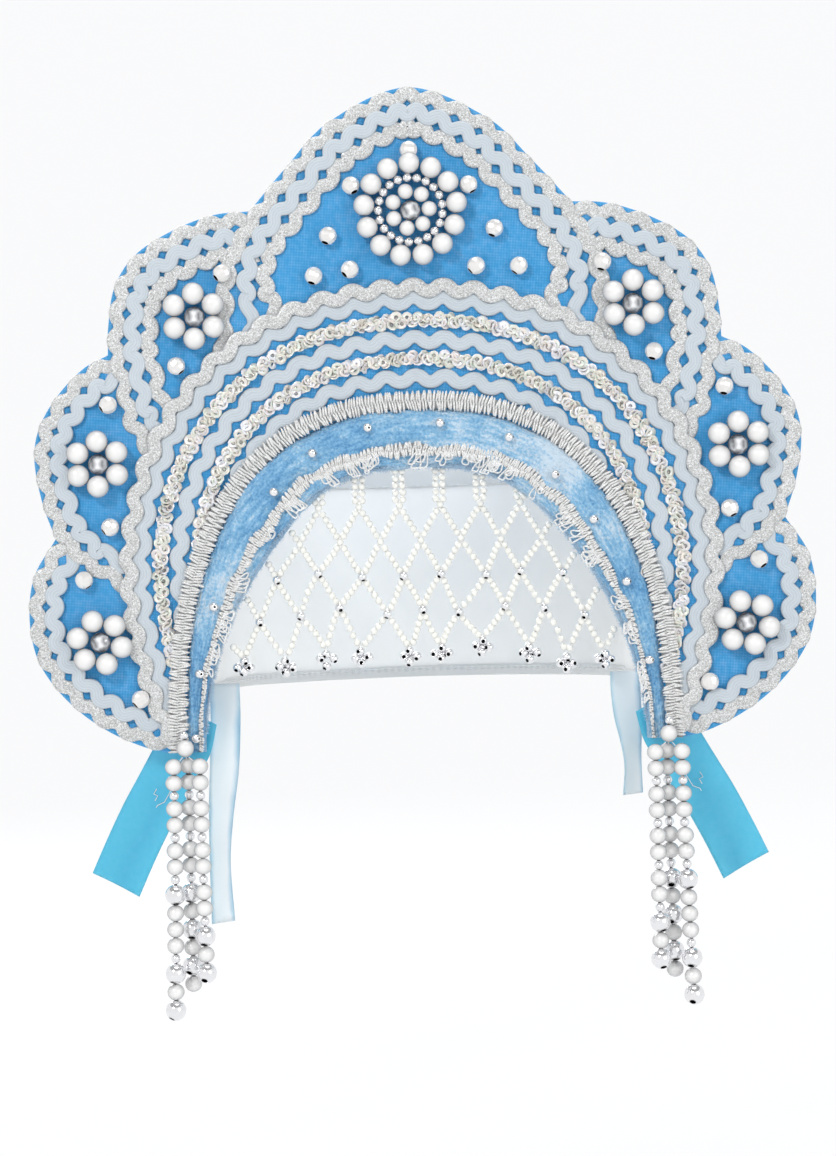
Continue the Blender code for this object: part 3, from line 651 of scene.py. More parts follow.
def cut_form(sides=8):
    """A cut stone of diameter 1 and height 0.5: table, crown facets in two rows and a short back."""
    rows = [(0.0, 0.42), (0.26, 0.42), (0.42, 0.30), (0.5, 0.16), (0.42, 0.0), (0.0, 0.0)]
    points, faces = [], []
    starts = []
    for k, (radius, height) in enumerate(rows):
        starts.append(len(points))
        for i in range(1 if radius < 1e-9 else sides):
            angle = 2 * math.pi * (i + 0.5 * (k % 2)) / sides
            points.append((radius * math.cos(angle), radius * math.sin(angle), height))
    for k, (a, b) in enumerate(zip(starts, starts[1:])):
        for i in range(sides):
            j = (i + 1) % sides
            if rows[k][0] < 1e-9:
                faces.append((a, b + i, b + j))
            elif rows[k + 1][0] < 1e-9:
                faces.append((a + i, b, a + j))
            elif k % 2:
                faces += [(a + i, b + j, a + j), (a + i, b + i, b + j)]
            else:
                faces += [(a + i, b + i, a + j), (a + j, b + i, b + j)]
    # Corners marked 0.15 get the stone's dark colour: painted dark reflections in the facets
    tones = [(0.5, 1.0 if (5 * i) % 7 < 4 else 0.15) for i in range(len(points))]
    return np.array(points), faces, np.array(tones)


def sequin_form():
    """A cupped sequin of diameter 1 with a hole, its hollow side to local +Z."""
    sides = 9
    points, faces, places = turned(SEQUIN_SECTION, sides)
    last = sides * (len(SEQUIN_SECTION) - 1)
    inner = [(a + last, a, b, b + last) for a, b in zip(range(sides), [*range(1, sides), 0])]
    return points, faces[:-2 * sides] + inner, places


def tube(shape, points, radius, sides=5, number=0, place=(0.5, 1.0)):
    """A round thread along a few points."""
    points = np.asarray(points, float)
    ahead = unit(np.gradient(points, axis=0))
    side = unit(np.cross(ahead, (0.0, 1.0, 0.3)))
    up = np.cross(side, ahead)
    angles = 2 * math.pi * np.arange(sides) / sides
    radius = np.broadcast_to(radius, len(points))[:, None, None]
    rings = points[:, None, :] + radius * (
        side[:, None, :] * np.cos(angles)[None, :, None] + up[:, None, :] * np.sin(angles)[None, :, None]
    )
    shape.rings(rings, np.broadcast_to(place, (*rings.shape[:2], 2)), number=number)


def thread_form(length, rise, radius, sides=6, steps=6):
    """A short thread that bows up from the cloth: along local X from 0, up along local Z."""
    t = np.linspace(0.0, 1.0, steps + 1)
    points = np.column_stack([t * length, np.zeros_like(t), rise * np.sin(np.pi * (0.12 + 0.8 * t))])
    held = Shape()
    tube(held, points, radius * np.sqrt(np.clip(1 - (2 * t - 1) ** 6, 0.12, 1.0)), sides)
    return np.vstack(held.points), held.faces, np.vstack(held.places)


def wave_swing(distance, length, height):
    """Sideways place of a wavy braid's middle line: arcs of one radius, to either side in turn."""
    quarter = length / 4
    radius = (quarter**2 + height**2) / (2 * height)
    half = np.floor(distance / (2 * quarter))
    x = distance - (half + 0.5) * 2 * quarter
    arc = height - radius + np.sqrt(np.maximum(radius**2 - x**2, 0.0))
    return np.where(half % 2 == 0, 1.0, -1.0) * arc


def braid(shape, middle, lift, width, thickness, number=0, start=0.0):
    """A flat braid of one section along a line in the face."""
    line = Route(middle)
    left = np.column_stack([-line.ahead[:, 1], line.ahead[:, 0]])
    section = np.asarray(BRAID_SECTION)
    across = section[:, 0] * width
    flat = line.points[:, None, :] + left[:, None, :] * across[None, :, None]
    lift = np.broadcast_to(lift, len(line.points))[:, None] + section[None, :, 1] * thickness
    rings = np.stack([flat[..., 0], FACE_Y - lift, flat[..., 1]], axis=-1)
    along = np.broadcast_to(((line.reached + start) / width)[:, None], rings.shape[:2])
    side = np.broadcast_to(section[:, 0] + 0.5, rings.shape[:2])
    shape.rings(rings, np.stack([along, side], axis=-1), number=number)


def wavy_row(shape, base, settings, lift, offset=0.0):
    """A wavy braid so far outside a base line. Its waves are counted from the middle of the base."""
    along = np.arange(0.0, base.length, settings.wave / WAVE_STEPS)
    phase = along - base.length / 2
    swing = wave_swing(phase + settings.wave / 4, settings.wave, settings.swing)
    wander = 0.1 * settings.swing * np.sin(phase / (2.7 * settings.wave) + base.length / settings.wave)
    braid(shape, base.beside(along, offset + swing + wander), lift, settings.width, settings.thickness)


def new_material(name, colour, roughness, **sockets):
    """A Principled material; sockets are given by name with _ for a space."""
    made = bpy.data.materials.new(name)
    made.use_nodes = True
    shader = made.node_tree.nodes["Principled BSDF"]
    shader.inputs["Base Color"].default_value = (*colour, 1.0)
    shader.inputs["Roughness"].default_value = roughness
    for socket, value in sockets.items():
        shader.inputs[socket.replace("_", " ")].default_value = value
    return made


def add_node(tree, kind, links=None, **values):
    """A node with socket values, and links from other sockets into its inputs."""
    made = tree.nodes.new(kind)
    for name, value in values.items():
        if name in made.inputs:
            made.inputs[name].default_value = value
        else:
            setattr(made, name, value)
    for name, source in (links or {}).items():
        tree.links.new(source, made.inputs[name])
    return made


def effect(name, inputs, outputs, fill):
    """A shader node group. Inputs hold a default for each name, None for a vector."""
    group = bpy.data.node_groups.get(name)
    if group:
        return group
    group = bpy.data.node_groups.new(name, "ShaderNodeTree")
    for label, default in inputs.items():
        kind = "NodeSocketVector" if default is None else "NodeSocketFloat"
        socket = group.interface.new_socket(label, in_out="INPUT", socket_type=kind)
        if default is not None:
            socket.default_value = default
    for label in outputs:
        group.interface.new_socket(label, in_out="OUTPUT", socket_type="NodeSocketFloat")
    start = group.nodes.new("NodeGroupInput")
    end = group.nodes.new("NodeGroupOutput")
    fill(group, start.outputs, end.inputs)
    return group


def feed(tree, socket, value):
    """Links another socket into a socket, or sets its value."""
    if isinstance(value, bpy.types.NodeSocket):
        tree.links.new(value, socket)
    else:
        socket.default_value = value


def maths(tree, operation, *values):
    """A Math node on sockets or numbers; gives its output."""
    made = tree.nodes.new("ShaderNodeMath")
    made.operation = operation
    for socket, value in zip(made.inputs, values):
        feed(tree, socket, value)
    return made.outputs[0]


def times(tree, first, second):
    return maths(tree, "MULTIPLY", first, second)


def plus(tree, first, second):
    return maths(tree, "ADD", first, second)


def cloudy(tree, vector, scale, detail=2.0):
    """An even noise; gives its value."""
    made = add_node(tree, "ShaderNodeTexNoise", {"Vector": vector}, Scale=scale, Detail=detail)
    return made.outputs["Fac"]


def mix_colours(tree, factor, first, second, blend="MIX"):
    """A mix of two colours, given as values or sockets; gives its output."""
    made = add_node(tree, "ShaderNodeMix", data_type="RGBA", blend_type=blend)
    feed(tree, made.inputs[0], factor)
    for number, colour in ((6, first), (7, second)):
        given = isinstance(colour, bpy.types.NodeSocket)
        feed(tree, made.inputs[number], colour if given else (*colour, 1.0))
    return made.outputs[2]


def woven_effect():
    """Two crossed sets of threads with uneven tone."""

    def fill(tree, given, out):
        split = add_node(tree, "ShaderNodeSeparateXYZ", {"Vector": given["Vector"]})
        across = maths(tree, "DIVIDE", split.outputs["X"], given["Thread"])
        up = maths(tree, "DIVIDE", split.outputs["Z"], given["Thread"])
        one = maths(tree, "SINE", times(tree, plus(tree, across, up), 4.44))
        two = maths(tree, "SINE", times(tree, maths(tree, "SUBTRACT", across, up), 4.44))
        uneven = cloudy(tree, given["Vector"], 420.0, 4.0)
        broad = cloudy(tree, given["Vector"], 60.0)
        grain = times(tree, times(tree, one, two), uneven)
        tree.links.new(maths(tree, "MULTIPLY_ADD", grain, 0.5), out["Height"])
        tone = maths(tree, "MULTIPLY_ADD", grain, 0.45, 0.25)
        mixed = plus(tree, tone, times(tree, uneven, 0.35))
        tree.links.new(plus(tree, mixed, times(tree, broad, 0.2)), out["Tone"])

    return effect("Woven threads", {"Vector": None, "Thread": 0.001}, ("Height", "Tone"), fill)


def laid_effect():
    """Threads laid side by side along a braid, read from its texture places."""

    def fill(tree, given, out):
        split = add_node(tree, "ShaderNodeSeparateXYZ", {"Vector": given["Places"]})
        lines = times(tree, split.outputs["Y"], given["Threads"])
        slant = times(tree, split.outputs["X"], given["Slant"])
        ridge = maths(tree, "ABSOLUTE", maths(tree, "SINE", times(tree, plus(tree, lines, slant), 3.1416)))
        cross = maths(tree, "SINE", times(tree, split.outputs["X"], 41.0))
        fuzz = times(tree, cloudy(tree, given["Vector"], 1500.0, 3.0), 0.5)
        height = plus(tree, ridge, times(tree, cross, 0.12))
        tree.links.new(plus(tree, height, fuzz), out["Height"])
        tree.links.new(plus(tree, times(tree, ridge, 0.6), fuzz), out["Tone"])

    inputs = {"Vector": None, "Places": None, "Threads": 6.0, "Slant": 0.0}
    return effect("Laid threads", inputs, ("Height", "Tone"), fill)


def glitter_effect():
    """Fine specks, each with its own tone, over a grainy ground."""

    def fill(tree, given, out):
        places = {"Vector": given["Vector"], "Scale": given["Fineness"]}
        cells = add_node(tree, "ShaderNodeTexVoronoi", places)
        tint = add_node(tree, "ShaderNodeSeparateColor", {"Color": cells.outputs["Color"]})
        grain = cloudy(tree, given["Vector"], 900.0, 5.0)
        tree.links.new(tint.outputs["Red"], out["Tone"])
        tree.links.new(maths(tree, "GREATER_THAN", tint.outputs["Green"], 0.72), out["Sparkle"])
        tree.links.new(plus(tree, tint.outputs["Red"], grain), out["Height"])

    inputs = {"Vector": None, "Fineness": 2200.0}
    return effect("Glitter specks", inputs, ("Tone", "Sparkle", "Height"), fill)


def place_effect(tree, group, **values):
    """The node of an effect, read at the object's own places."""
    made = tree.nodes.new("ShaderNodeGroup")
    made.node_tree = group
    tree.links.new(object_places(tree), made.inputs["Vector"])
    for name, value in values.items():
        made.inputs[name].default_value = value
    return made


def object_places(tree):
    return tree.nodes.new("ShaderNodeTexCoord").outputs["Object"]


def braid_places(tree):
    made = tree.nodes.new("ShaderNodeUVMap")
    made.uv_map = "places"
    return made.outputs["UV"]


def colour_ramp(tree, factor, steps):
    """Colours over a factor; gives the colour. Steps hold (position, colour)."""
    ramp = add_node(tree, "ShaderNodeValToRGB", {"Fac": factor})
    bar = ramp.color_ramp.elements
    while len(bar) < len(steps):
        bar.new(0.5)
    for element, (position, colour) in zip(bar, steps):
        element.position = position
        element.color = (*colour, 1.0)
    return ramp.outputs["Color"]


def colour_steps(material, factor, steps):
    """Colours over a factor, into the shader's base colour."""
    into_shader(material, colour_ramp(material.node_tree, factor, steps), "Base Color")


def raise_surface(material, height, strength, distance):
    tree = material.node_tree
    bump = add_node(tree, "ShaderNodeBump", {"Height": height}, Strength=strength, Distance=distance)
    tree.links.new(bump.outputs["Normal"], tree.nodes["Principled BSDF"].inputs["Normal"])


def into_shader(material, output, socket):
    material.node_tree.links.new(output, material.node_tree.nodes["Principled BSDF"].inputs[socket])


def shade(colour, factor):
    """The colour, darker below 1 and towards white above it."""
    if factor <= 1:
        return tuple(value * factor for value in colour)
    return tuple(value + (1 - value) * (factor - 1) for value in colour)


def woven_material(name, colour, roughness, thread, contrast, relief, **sockets):
    made = new_material(name, colour, roughness, **sockets)
    tree = made.node_tree
    weave = place_effect(tree, woven_effect(), Thread=thread)
    colour_steps(made, weave.outputs["Tone"], (
        (0.25, shade(colour, 1 - contrast)), (0.55, colour), (0.85, shade(colour, 1 + contrast * 0.6)),
    ))
    raise_surface(made, weave.outputs["Height"], 0.5, relief)
    return made


def laid_material(name, colour, roughness, threads, slant, contrast, **sockets):
    made = new_material(name, colour, roughness, **sockets)
    tree = made.node_tree
    laid = place_effect(tree, laid_effect(), Threads=threads, Slant=slant)
    tree.links.new(braid_places(tree), laid.inputs["Places"])
    colour_steps(made, laid.outputs["Tone"], (
        (0.15, shade(colour, 1 - contrast)), (0.65, colour), (1.0, shade(colour, 1 + contrast)),
    ))
    raise_surface(made, laid.outputs["Height"], 0.5, 0.00018)
    return made


def mix_shader(material, share, other):
    """Mixes a share of another shader into the material's own."""
    tree = material.node_tree
    blend = add_node(tree, "ShaderNodeMixShader")
    own = tree.nodes["Principled BSDF"].outputs[0]
    for socket, value in zip(blend.inputs, (share, own, other.outputs[0])):
        feed(tree, socket, value)
    tree.links.new(blend.outputs[0], tree.nodes["Material Output"].inputs["Surface"])


def let_through(material, colour, share):
    """Lets light through a thin cloth, so that it glows from behind."""
    glow = add_node(material.node_tree, "ShaderNodeBsdfTranslucent", Color=(*colour, 1.0))
    mix_shader(material, share, glow)
    return material


def tint_across(material, width, tints):
    """Darkens a ribbon's colour by its place across: painted shade along the satin's crease, and bluer
    edges on the pale ribbon. Tints hold (share of the width, colour).
    """
    tree = material.node_tree
    across = add_node(tree, "ShaderNodeSeparateXYZ", {"Vector": braid_places(tree)}).outputs["Y"]
    cloud = cloudy(tree, object_places(tree), 55.0)
    share = maths(tree, "DIVIDE", across, width / MM)
    drift = times(tree, maths(tree, "SUBTRACT", cloud, 0.5), 0.35)
    own = tree.nodes["Principled BSDF"].inputs["Base Color"].links[0].from_socket
    tint = colour_ramp(tree, plus(tree, share, drift), tints)
    into_shader(material, mix_colours(tree, 1.0, own, tint, "MULTIPLY"), "Base Color")
    return material


def glitter_material(name, colour, fineness, contrast):
    """Metallised thread: specks of many tones, the lightest of them painted glints, and some of them mirror
    bright.
    """
    made = new_material(name, colour, 0.42)
    tree = made.node_tree
    specks = place_effect(tree, glitter_effect(), Fineness=fineness)
    warm = tuple(value * tint for value, tint in zip(colour, (1.0, 0.97, 0.93)))
    # The lightest tones are painted glints; the others are tones that differ at random from speck to speck
    colour_steps(made, specks.outputs["Tone"], (
        (0.0, shade(colour, 1 - contrast)), (0.25, shade(warm, 1 - contrast * 0.35)),
        (0.55, colour), (0.8, shade(colour, 1.25)), (1.0, shade(colour, 1.7)),
    ))
    into_shader(made, times(tree, specks.outputs["Sparkle"], 0.75), "Metallic")
    raise_surface(made, specks.outputs["Height"], 0.45, 0.00025)
    return made


def sequin_material(settings):
    """Iridescent film: each sequin has a tone of its own, its lighter and darker tones painted reflections
    and glints, darker in the hole as painted shade.
    """
    made = new_material("sequin_film", settings.sequin, 0.2, Metallic=0.15, Coat_Weight=0.6)
    tree = made.node_tree
    split = add_node(tree, "ShaderNodeSeparateXYZ", {"Vector": braid_places(tree)})
    specks = place_effect(tree, glitter_effect(), Fineness=1300.0)
    tone = plus(tree, times(tree, split.outputs["X"], 0.75), times(tree, specks.outputs["Tone"], 0.35))
    # Each sequin's tone, from dark to light, is a painted reflection or glint
    steps = [(i / (len(SEQUIN_GLINT_TINTS) - 1), tint) for i, tint in enumerate(SEQUIN_GLINT_TINTS)]
    film = add_node(tree, "ShaderNodeMapRange", {"Value": split.outputs["Y"]})
    film.inputs["From Max"].default_value = 0.45
    tint = mix_colours(tree, film.outputs["Result"], PAINTED_HOLE_SHADE, colour_ramp(tree, tone, steps))
    into_shader(made, tint, "Base Color")
    raise_surface(made, specks.outputs["Height"], 0.3, 0.0002)
    return made


def bead_material(name, colour, painted_shade, roughness, rim=None, **sockets):
    """A bead's skin: faintly cloudy, with painted shade in its drilled hole (on a cut stone, painted dark
    reflections on some facets) and painted shade towards its rim.
    """
    made = new_material(name, colour, roughness, **sockets)
    tree = made.node_tree
    split = add_node(tree, "ShaderNodeSeparateXYZ", {"Vector": braid_places(tree)})
    cloud = cloudy(tree, object_places(tree), 260.0)
    skin = mix_colours(tree, cloud, shade(colour, 0.93), shade(colour, 1.04))
    # Painted shade in the drilled hole, or painted dark reflections on a cut stone's marked facets
    skin = mix_colours(tree, split.outputs["Y"], painted_shade, skin)
    # Painted shade: darker towards the bead's rim, where it turns away from the view
    if rim is not None:
        facing = add_node(tree, "ShaderNodeLayerWeight", Blend=0.5).outputs["Facing"]
        skin = mix_colours(tree, maths(tree, "POWER", facing, 1.25), skin, rim)
    into_shader(made, skin, "Base Color")
    return made


def plush_material(settings):
    """Brushed pile: streaks along the band and lighter and darker patches."""
    made = new_material(
        "light_blue_plush_pile", settings.plush, 0.85, Sheen_Weight=0.4, Sheen_Roughness=0.5
    )
    tree = made.node_tree
    drawn = add_node(tree, "ShaderNodeMapping", {"Vector": braid_places(tree)})
    drawn.inputs["Scale"].default_value = (1.6, 40.0, 1.0)
    streaks = cloudy(tree, drawn.outputs["Vector"], 1.0, 5.0)
    pile = cloudy(tree, object_places(tree), 900.0, 5.0)
    patches = cloudy(tree, object_places(tree), 26.0)
    tone = plus(tree, times(tree, streaks, 0.36), times(tree, pile, 0.34))
    tone = plus(tree, tone, times(tree, patches, 0.6))
    blue = settings.plush
    colour_steps(made, tone, (
        (0.49, srgb(78, 142, 194)), (0.57, srgb(110, 169, 214)), (0.65, tuple(blue)),
        (0.76, shade(blue, 1.45)),
    ))
    raise_surface(made, plus(tree, streaks, pile), 1.0, 0.0012)
    return made


FINISHES = {}


def finish(name):
    """The material of that name, made the first time it is asked for."""
    if name not in FINISHES:
        FINISHES[name] = FINISH_MAKERS[name]()
    return FINISHES[name]


def scene_settings(name):
    return getattr(bpy.context.scene, f"headdress_{name}")


def colour_of(group, name):
    return tuple(getattr(scene_settings(group), name))


FINISH_MAKERS = {
    "board": lambda: woven_material(
        "blue_woven_satin", colour_of("cloth", "board"), 0.62, scene_settings("cloth").thread, 0.42,
        0.0005, Sheen_Weight=0.15),
    "plush": lambda: plush_material(scene_settings("cloth")),
    "pile": lambda: new_material("plush_lip_fibres", shade(colour_of("cloth", "plush"), 1.35), 0.9),
    "white": lambda: laid_material(
        "white_wavy_braid", colour_of("trims", "white"), 0.72, 5.0, 0.0, 0.1),
    "silver": lambda: glitter_material(
        "silver_wavy_braid", colour_of("trims", "silver"), 2700.0, 0.42),
    # The loop braid's colour is a lighter copy of the silver braid's and its ground a darker one: painted
    # light on the loops and painted shade between them
    "gimp": lambda: glitter_material(
        "silver_loop_braid", shade(colour_of("trims", "silver"), 1.5), 3000.0, 0.28),
    "loose_loop": lambda: glitter_material("loose_loop_thread", srgb(236, 238, 240), 3000.0, 0.2),
    "gimp_ground": lambda: woven_material(
        "loop_braid_ground", shade(colour_of("trims", "silver"), 0.45), 0.8, 0.7 * MM, 0.3, 0.0002),
    "sequin": lambda: sequin_material(scene_settings("trims")),
    # Each bead's second colour is painted shade in its drilled hole (painted dark reflections on the cut
    # stone's facets); the pearls' third colour is painted shade towards the rim
    "pearl": lambda: bead_material(
        "white_pearl", colour_of("beads", "pearl"), srgb(120, 118, 114), 0.26, srgb(132, 132, 136),
        Coat_Weight=0.6, Coat_Roughness=0.08),
    "net_pearl": lambda: bead_material(
        "cream_net_pearl", colour_of("beads", "cream"), srgb(170, 166, 150), 0.25, srgb(224, 221, 212),
        Coat_Weight=0.3),
    "chrome": lambda: bead_material(
        "silvered_bead", colour_of("beads", "chrome"), srgb(12, 12, 14), 0.1, Metallic=0.88),
    "stone": lambda: bead_material(
        "cut_stone", srgb(250, 251, 253), srgb(96, 98, 104), 0.06, Metallic=0.15, Coat_Weight=1.0),
    "stud": lambda: bead_material(
        "faceted_stud", srgb(236, 234, 232), srgb(30, 30, 32), 0.2, Metallic=0.3, Coat_Weight=0.5),
    "panel": lambda: let_through(woven_material(
        "thin_white_cloth", colour_of("cloth", "panel"), 0.75, 0.5 * MM, 0.07, 0.0001),
        colour_of("cloth", "panel"), 0.38),
    "satin": lambda: tint_across(woven_material(
        "turquoise_satin_weave", colour_of("cloth", "satin"), 0.4, 0.35 * MM, 0.12, 0.00006,
        Sheen_Weight=0.2), RIBBON_WIDTH, SATIN_SHADE_TINTS),
    "pale": lambda: tint_across(let_through(woven_material(
        "pale_sheer_weave", colour_of("cloth", "pale"), 0.55, 0.4 * MM, 0.08, 0.00006, Alpha=0.86),
        colour_of("cloth", "pale"), 0.4), PALE_WIDTH, PALE_TINTS),
    "thread": lambda: new_material("white_thread", srgb(232, 233, 233), 0.6),
}


def covered_board(settings):
    """The board in its cloth, from the outline and the arch, with the cloth turned round its edge."""
    right = outline_half()
    arch = SEAM.beside(np.linspace(SEAM.length, 0.0, 200), 0.3 * MM)
    left = right[:0:-1] * (-1, 1)
    edge = np.vstack([right, arch, left])
    loop = Route(np.vstack([edge, edge[:1]]))
    ahead = unit(np.roll(edge, -1, axis=0) - np.roll(edge, 1, axis=0))
    outward = np.column_stack([-ahead[:, 1], ahead[:, 0]])
    round_off = settings.edge_round
    shape = Shape()
    rings, places = [], []
    turns = np.linspace(0.0, math.pi / 2, 5)
    for y, sign in ((FACE_Y, 1), (BACK_Y, -1)):
        for angle in turns[::sign]:
            inset = -round_off * (1 - math.sin(angle))
            depth = sign * round_off * (1 - math.cos(angle))
            ring = edge + outward * inset
            rings.append(np.column_stack([ring[:, 0], np.full(len(ring), y + depth), ring[:, 1]]))
            along = loop.reached[:-1] / settings.thread
            places.append(np.column_stack([along, np.full(len(ring), 0.5)]))
    shape.rings(rings, np.array(places), ends=False)
    piece = shape.build("board_cloth", [finish("board")], "blue_cloth", ["crown_board"])
    close_faces(piece, (rings[0], rings[-1]))


def close_faces(piece, rims):
    """Fills the front and back of the board between its rims."""
    held = bmesh.new()
    held.from_mesh(piece.data)
    held.verts.ensure_lookup_table()
    for rim in rims:
        level = rim[0][1]
        edges = [
            edge for edge in held.edges
            if edge.is_boundary and all(abs(corner.co.y - level) < 1e-6 for corner in edge.verts)
        ]
        bmesh.ops.triangle_fill(held, edges=edges, use_beauty=True)
    bmesh.ops.recalc_face_normals(held, faces=held.faces)
    for face in held.faces:
        face.smooth = abs(face.normal.y) < 0.99
    held.to_mesh(piece.data)
    held.free()


def band_skin(settings):
    """The plush roll, with soft folds that run along it and drift across."""
    profile = smooth_loop(BAND_SECTION, 4)
    along = np.linspace(0.0, SEAM.length, 420)
    out = unit(profile - (0.5, 0.0))
    around = np.linspace(0.0, 1.0, len(profile))
    lapped = np.clip(-3 * profile[:, 1] - 0.35, 0.0, 1.0) * np.clip(1 - profile[:, 0] / 0.3, 0.0, 1.0)
    rings, places = [], []
    for s in along:
        width, depth = band_width(s), band_depth(s)
        seed = np.array([profile[:, 0] * 3.1, np.full(len(profile), s / (34 * MM)), profile[:, 1] * 1.3])
        folds = np.array([noise.noise(Vector(point)) for point in seed.T])
        fine = np.array([noise.noise(Vector((p[0] * 9.0, s / (11 * MM), 4.0))) for p in profile])
        push = settings.pleat * (1.3 * folds + 0.8 * fine) * (0.35 + 0.65 * band_share(s))
        share = profile[:, 0] + out[:, 0] * push / width
        base = SEAM.beside(np.full(len(profile), s), BAND_SPILL * lapped - share * width)
        reach = np.where(profile[:, 1] < 0, BAND_FRONT, BAND_BACK)
        y = MID_Y + profile[:, 1] * depth * reach + out[:, 1] * push
        rings.append(np.column_stack([base[:, 0], y, base[:, 1]]))
        places.append(np.column_stack([np.full(len(profile), s * 100), around]))
    shape = Shape()
    shape.rings(rings, np.array(places))
    shape.build("band_plush", [finish("plush")], "light_blue_plush", ["padded_band"])


def band_front(distance, share):
    """Depth of the band's front skin there, as a place on Y."""
    rows = np.asarray(BAND_SECTION[:6])
    depth = np.interp(share, rows[:, 0], rows[:, 1])
    return MID_Y + depth * band_depth(distance) * np.where(depth < 0, BAND_FRONT, BAND_BACK)


def band_place(distance, share):
    """A place on the band's front skin."""
    flat = SEAM.beside([distance], -share * band_width(distance))[0]
    return np.array([flat[0], float(band_front(distance, share)), flat[1]])


def lip_fibres():
    """Short fibres that stand off the band's lip."""
    draw = random.Random(11)
    base = thread_form(1.0, 0.18, 0.05, sides=3, steps=3)
    turns, centres = [], []
    for _ in range(LIP_FIBRES):
        s = draw.uniform(0.02, 0.98) * SEAM.length
        share = draw.uniform(0.93, 1.0)
        centre = band_place(s, share)
        _, left = SEAM.at([s])
        inward = np.array([-left[0][0], draw.uniform(-0.7, 0.5), -left[0][1]])
        ahead = np.array([left[0][1], 0.0, -left[0][0]])
        way = unit(inward + ahead * draw.uniform(-0.9, 0.9))
        side = unit(np.cross(way, (0.0, 1.0, 0.1)))
        size = draw.uniform(1.0, 2.7) * MM
        turns.append(np.column_stack([way, side, np.cross(way, side)]) * size)
        centres.append(centre - way * 0.25 * size)
    strewn("lip_fibres", base, turns, centres, [finish("pile")], "light_blue_plush")


def loop_braid(name, node, place_at, spacing, width, radius, seed, jitter):
    """A braid of close crosswise loops in two rows over a ground strip.

    place_at gives, for a distance along the seam and a place across from -0.5 to 0.5, a point in space.
    """
    draw = random.Random(seed)
    shape = Shape()
    near = thread_form(1.0, LOOP_RISE, radius)
    far = thread_form(1.0, LOOP_RISE * 0.9, radius * 0.92)
    for base, start, end, shift in ((near, 0.02, 0.5, 0.0), (far, -0.02, -0.5, 0.5)):
        turns, centres, tones = [], [], []
        for i in range(int(SEAM.length / spacing)):
            s = (i + 0.5 + shift * 0.5) * spacing
            lean = draw.uniform(-jitter, jitter) + 0.25 * spacing
            a = place_at(s, start * width)
            b = place_at(min(s + lean, SEAM.length), end * width * draw.uniform(0.94, 1.06))
            way = b - a
            length = np.linalg.norm(way)
            way /= length
            side = unit(np.cross((0.0, -1.0, 0.0), way))
            up = np.cross(way, side)
            turns.append(np.column_stack([way * length, side * MM, up * MM]))
            centres.append(a)
            tones.append(draw.random())
        shape.copies(base, turns, centres, tones)
    along = np.linspace(0.0, SEAM.length, 300)
    rings = []
    for s in along:
        corners = [place_at(s, share * width) for share in (-0.42, 0.0, 0.42)]
        rings.append(np.array([
            corners[0], corners[0] - (0, 0.45 * MM, 0), corners[1] - (0, 0.6 * MM, 0),
            corners[2] - (0, 0.45 * MM, 0), corners[2],
        ]))
    shape.rings(rings, np.zeros((len(rings), 5, 2)), number=1)
    shape.build(name, [finish("gimp"), finish("gimp_ground")], "silver_braid", [node])


def seam_braid(settings):
    """The wide looped braid over the seam."""
    middle = 1.5 * MM + settings.gimp / 2
    low = 2.0 * MM

    def place_at(distance, across):
        if across < 0:
            swell = 0.6 + 0.4 * math.sin(distance / (13 * MM))
            across *= 0.94 + 0.26 * abs(math.sin(distance / (2.6 * MM))) * swell
        flat = SEAM.beside([distance], middle + across)[0]
        return np.array([flat[0], FACE_Y - low, flat[1]])

    loop_braid("seam_loop_braid", "outer_gimp_braid", place_at, settings.loop, settings.gimp,
               radius=0.5, seed=3, jitter=0.8 * MM)


def lip_braid(settings):
    """The looser looped braid on the band, with long loops that have slipped out of it."""
    slim = settings.gimp * LIP_BRAID_SIZE

    def place_at(distance, across):
        width = float(band_width(distance))
        fullness = 1 + 0.2 * math.sin(distance / (4.7 * MM)) + 0.12 * math.sin(distance / (1.9 * MM) + 1.0)
        drift = 0.022 * math.sin(distance / (3.1 * MM)) + 0.018 * math.sin(distance / (7.9 * MM) + 0.7)
        share = LIP_BRAID_SHARE + across / slim * 2 * LIP_BRAID_HALF * fullness + drift
        place = band_place(distance, min(share, 0.97))
        return place - (0, 0.25 * MM + 0.1 * width / BAND_WIDTH_TOP * MM, 0)

    loop_braid("lip_loop_braid", "inner_loop_braid", place_at, settings.loop * 0.95, slim,
               radius=0.48, seed=7, jitter=0.9 * MM)
    draw = random.Random(23)
    shape = Shape()
    for _ in range(SLIPPED_LOOPS):
        start = draw.uniform(0.06, 0.94) * SEAM.length
        lean = draw.uniform(-2.8, 2.8) * MM
        longest = draw.uniform(5.0, 9.0) * MM * (0.45 + 0.55 * float(band_share(start)))
        for k in range(draw.choice((1, 2, 3, 4, 5))):
            place = start + k * draw.uniform(1.4, 2.4) * MM
            slipped_loop(shape, place, longest * draw.uniform(0.5, 1.0), lean, draw)
    shape.build("slipped_loops", [finish("loose_loop")], "silver_braid")


def slipped_loop(shape, start, reach, lean, draw):
    """A loop of thread that hangs from the lip's braid towards the lip."""
    width = float(band_width(start))
    wide = draw.uniform(1.1, 2.0) * MM
    points = []
    for t in np.linspace(0.0, 1.0, 13):
        out = math.sin(math.pi * t) ** 0.7
        along = start + lean * out + wide * math.sin(2 * math.pi * t)
        share = min(0.72 + out * reach / width, 1.02)
        flat = SEAM.beside([min(max(along, 0.0), SEAM.length)], -share * width)[0]
        front = float(band_front(start, min(share, 0.93)))
        points.append((flat[0], front - (0.9 + 0.8 * out) * MM, flat[1]))
    tube(shape, points, 0.36 * MM, sides=6)


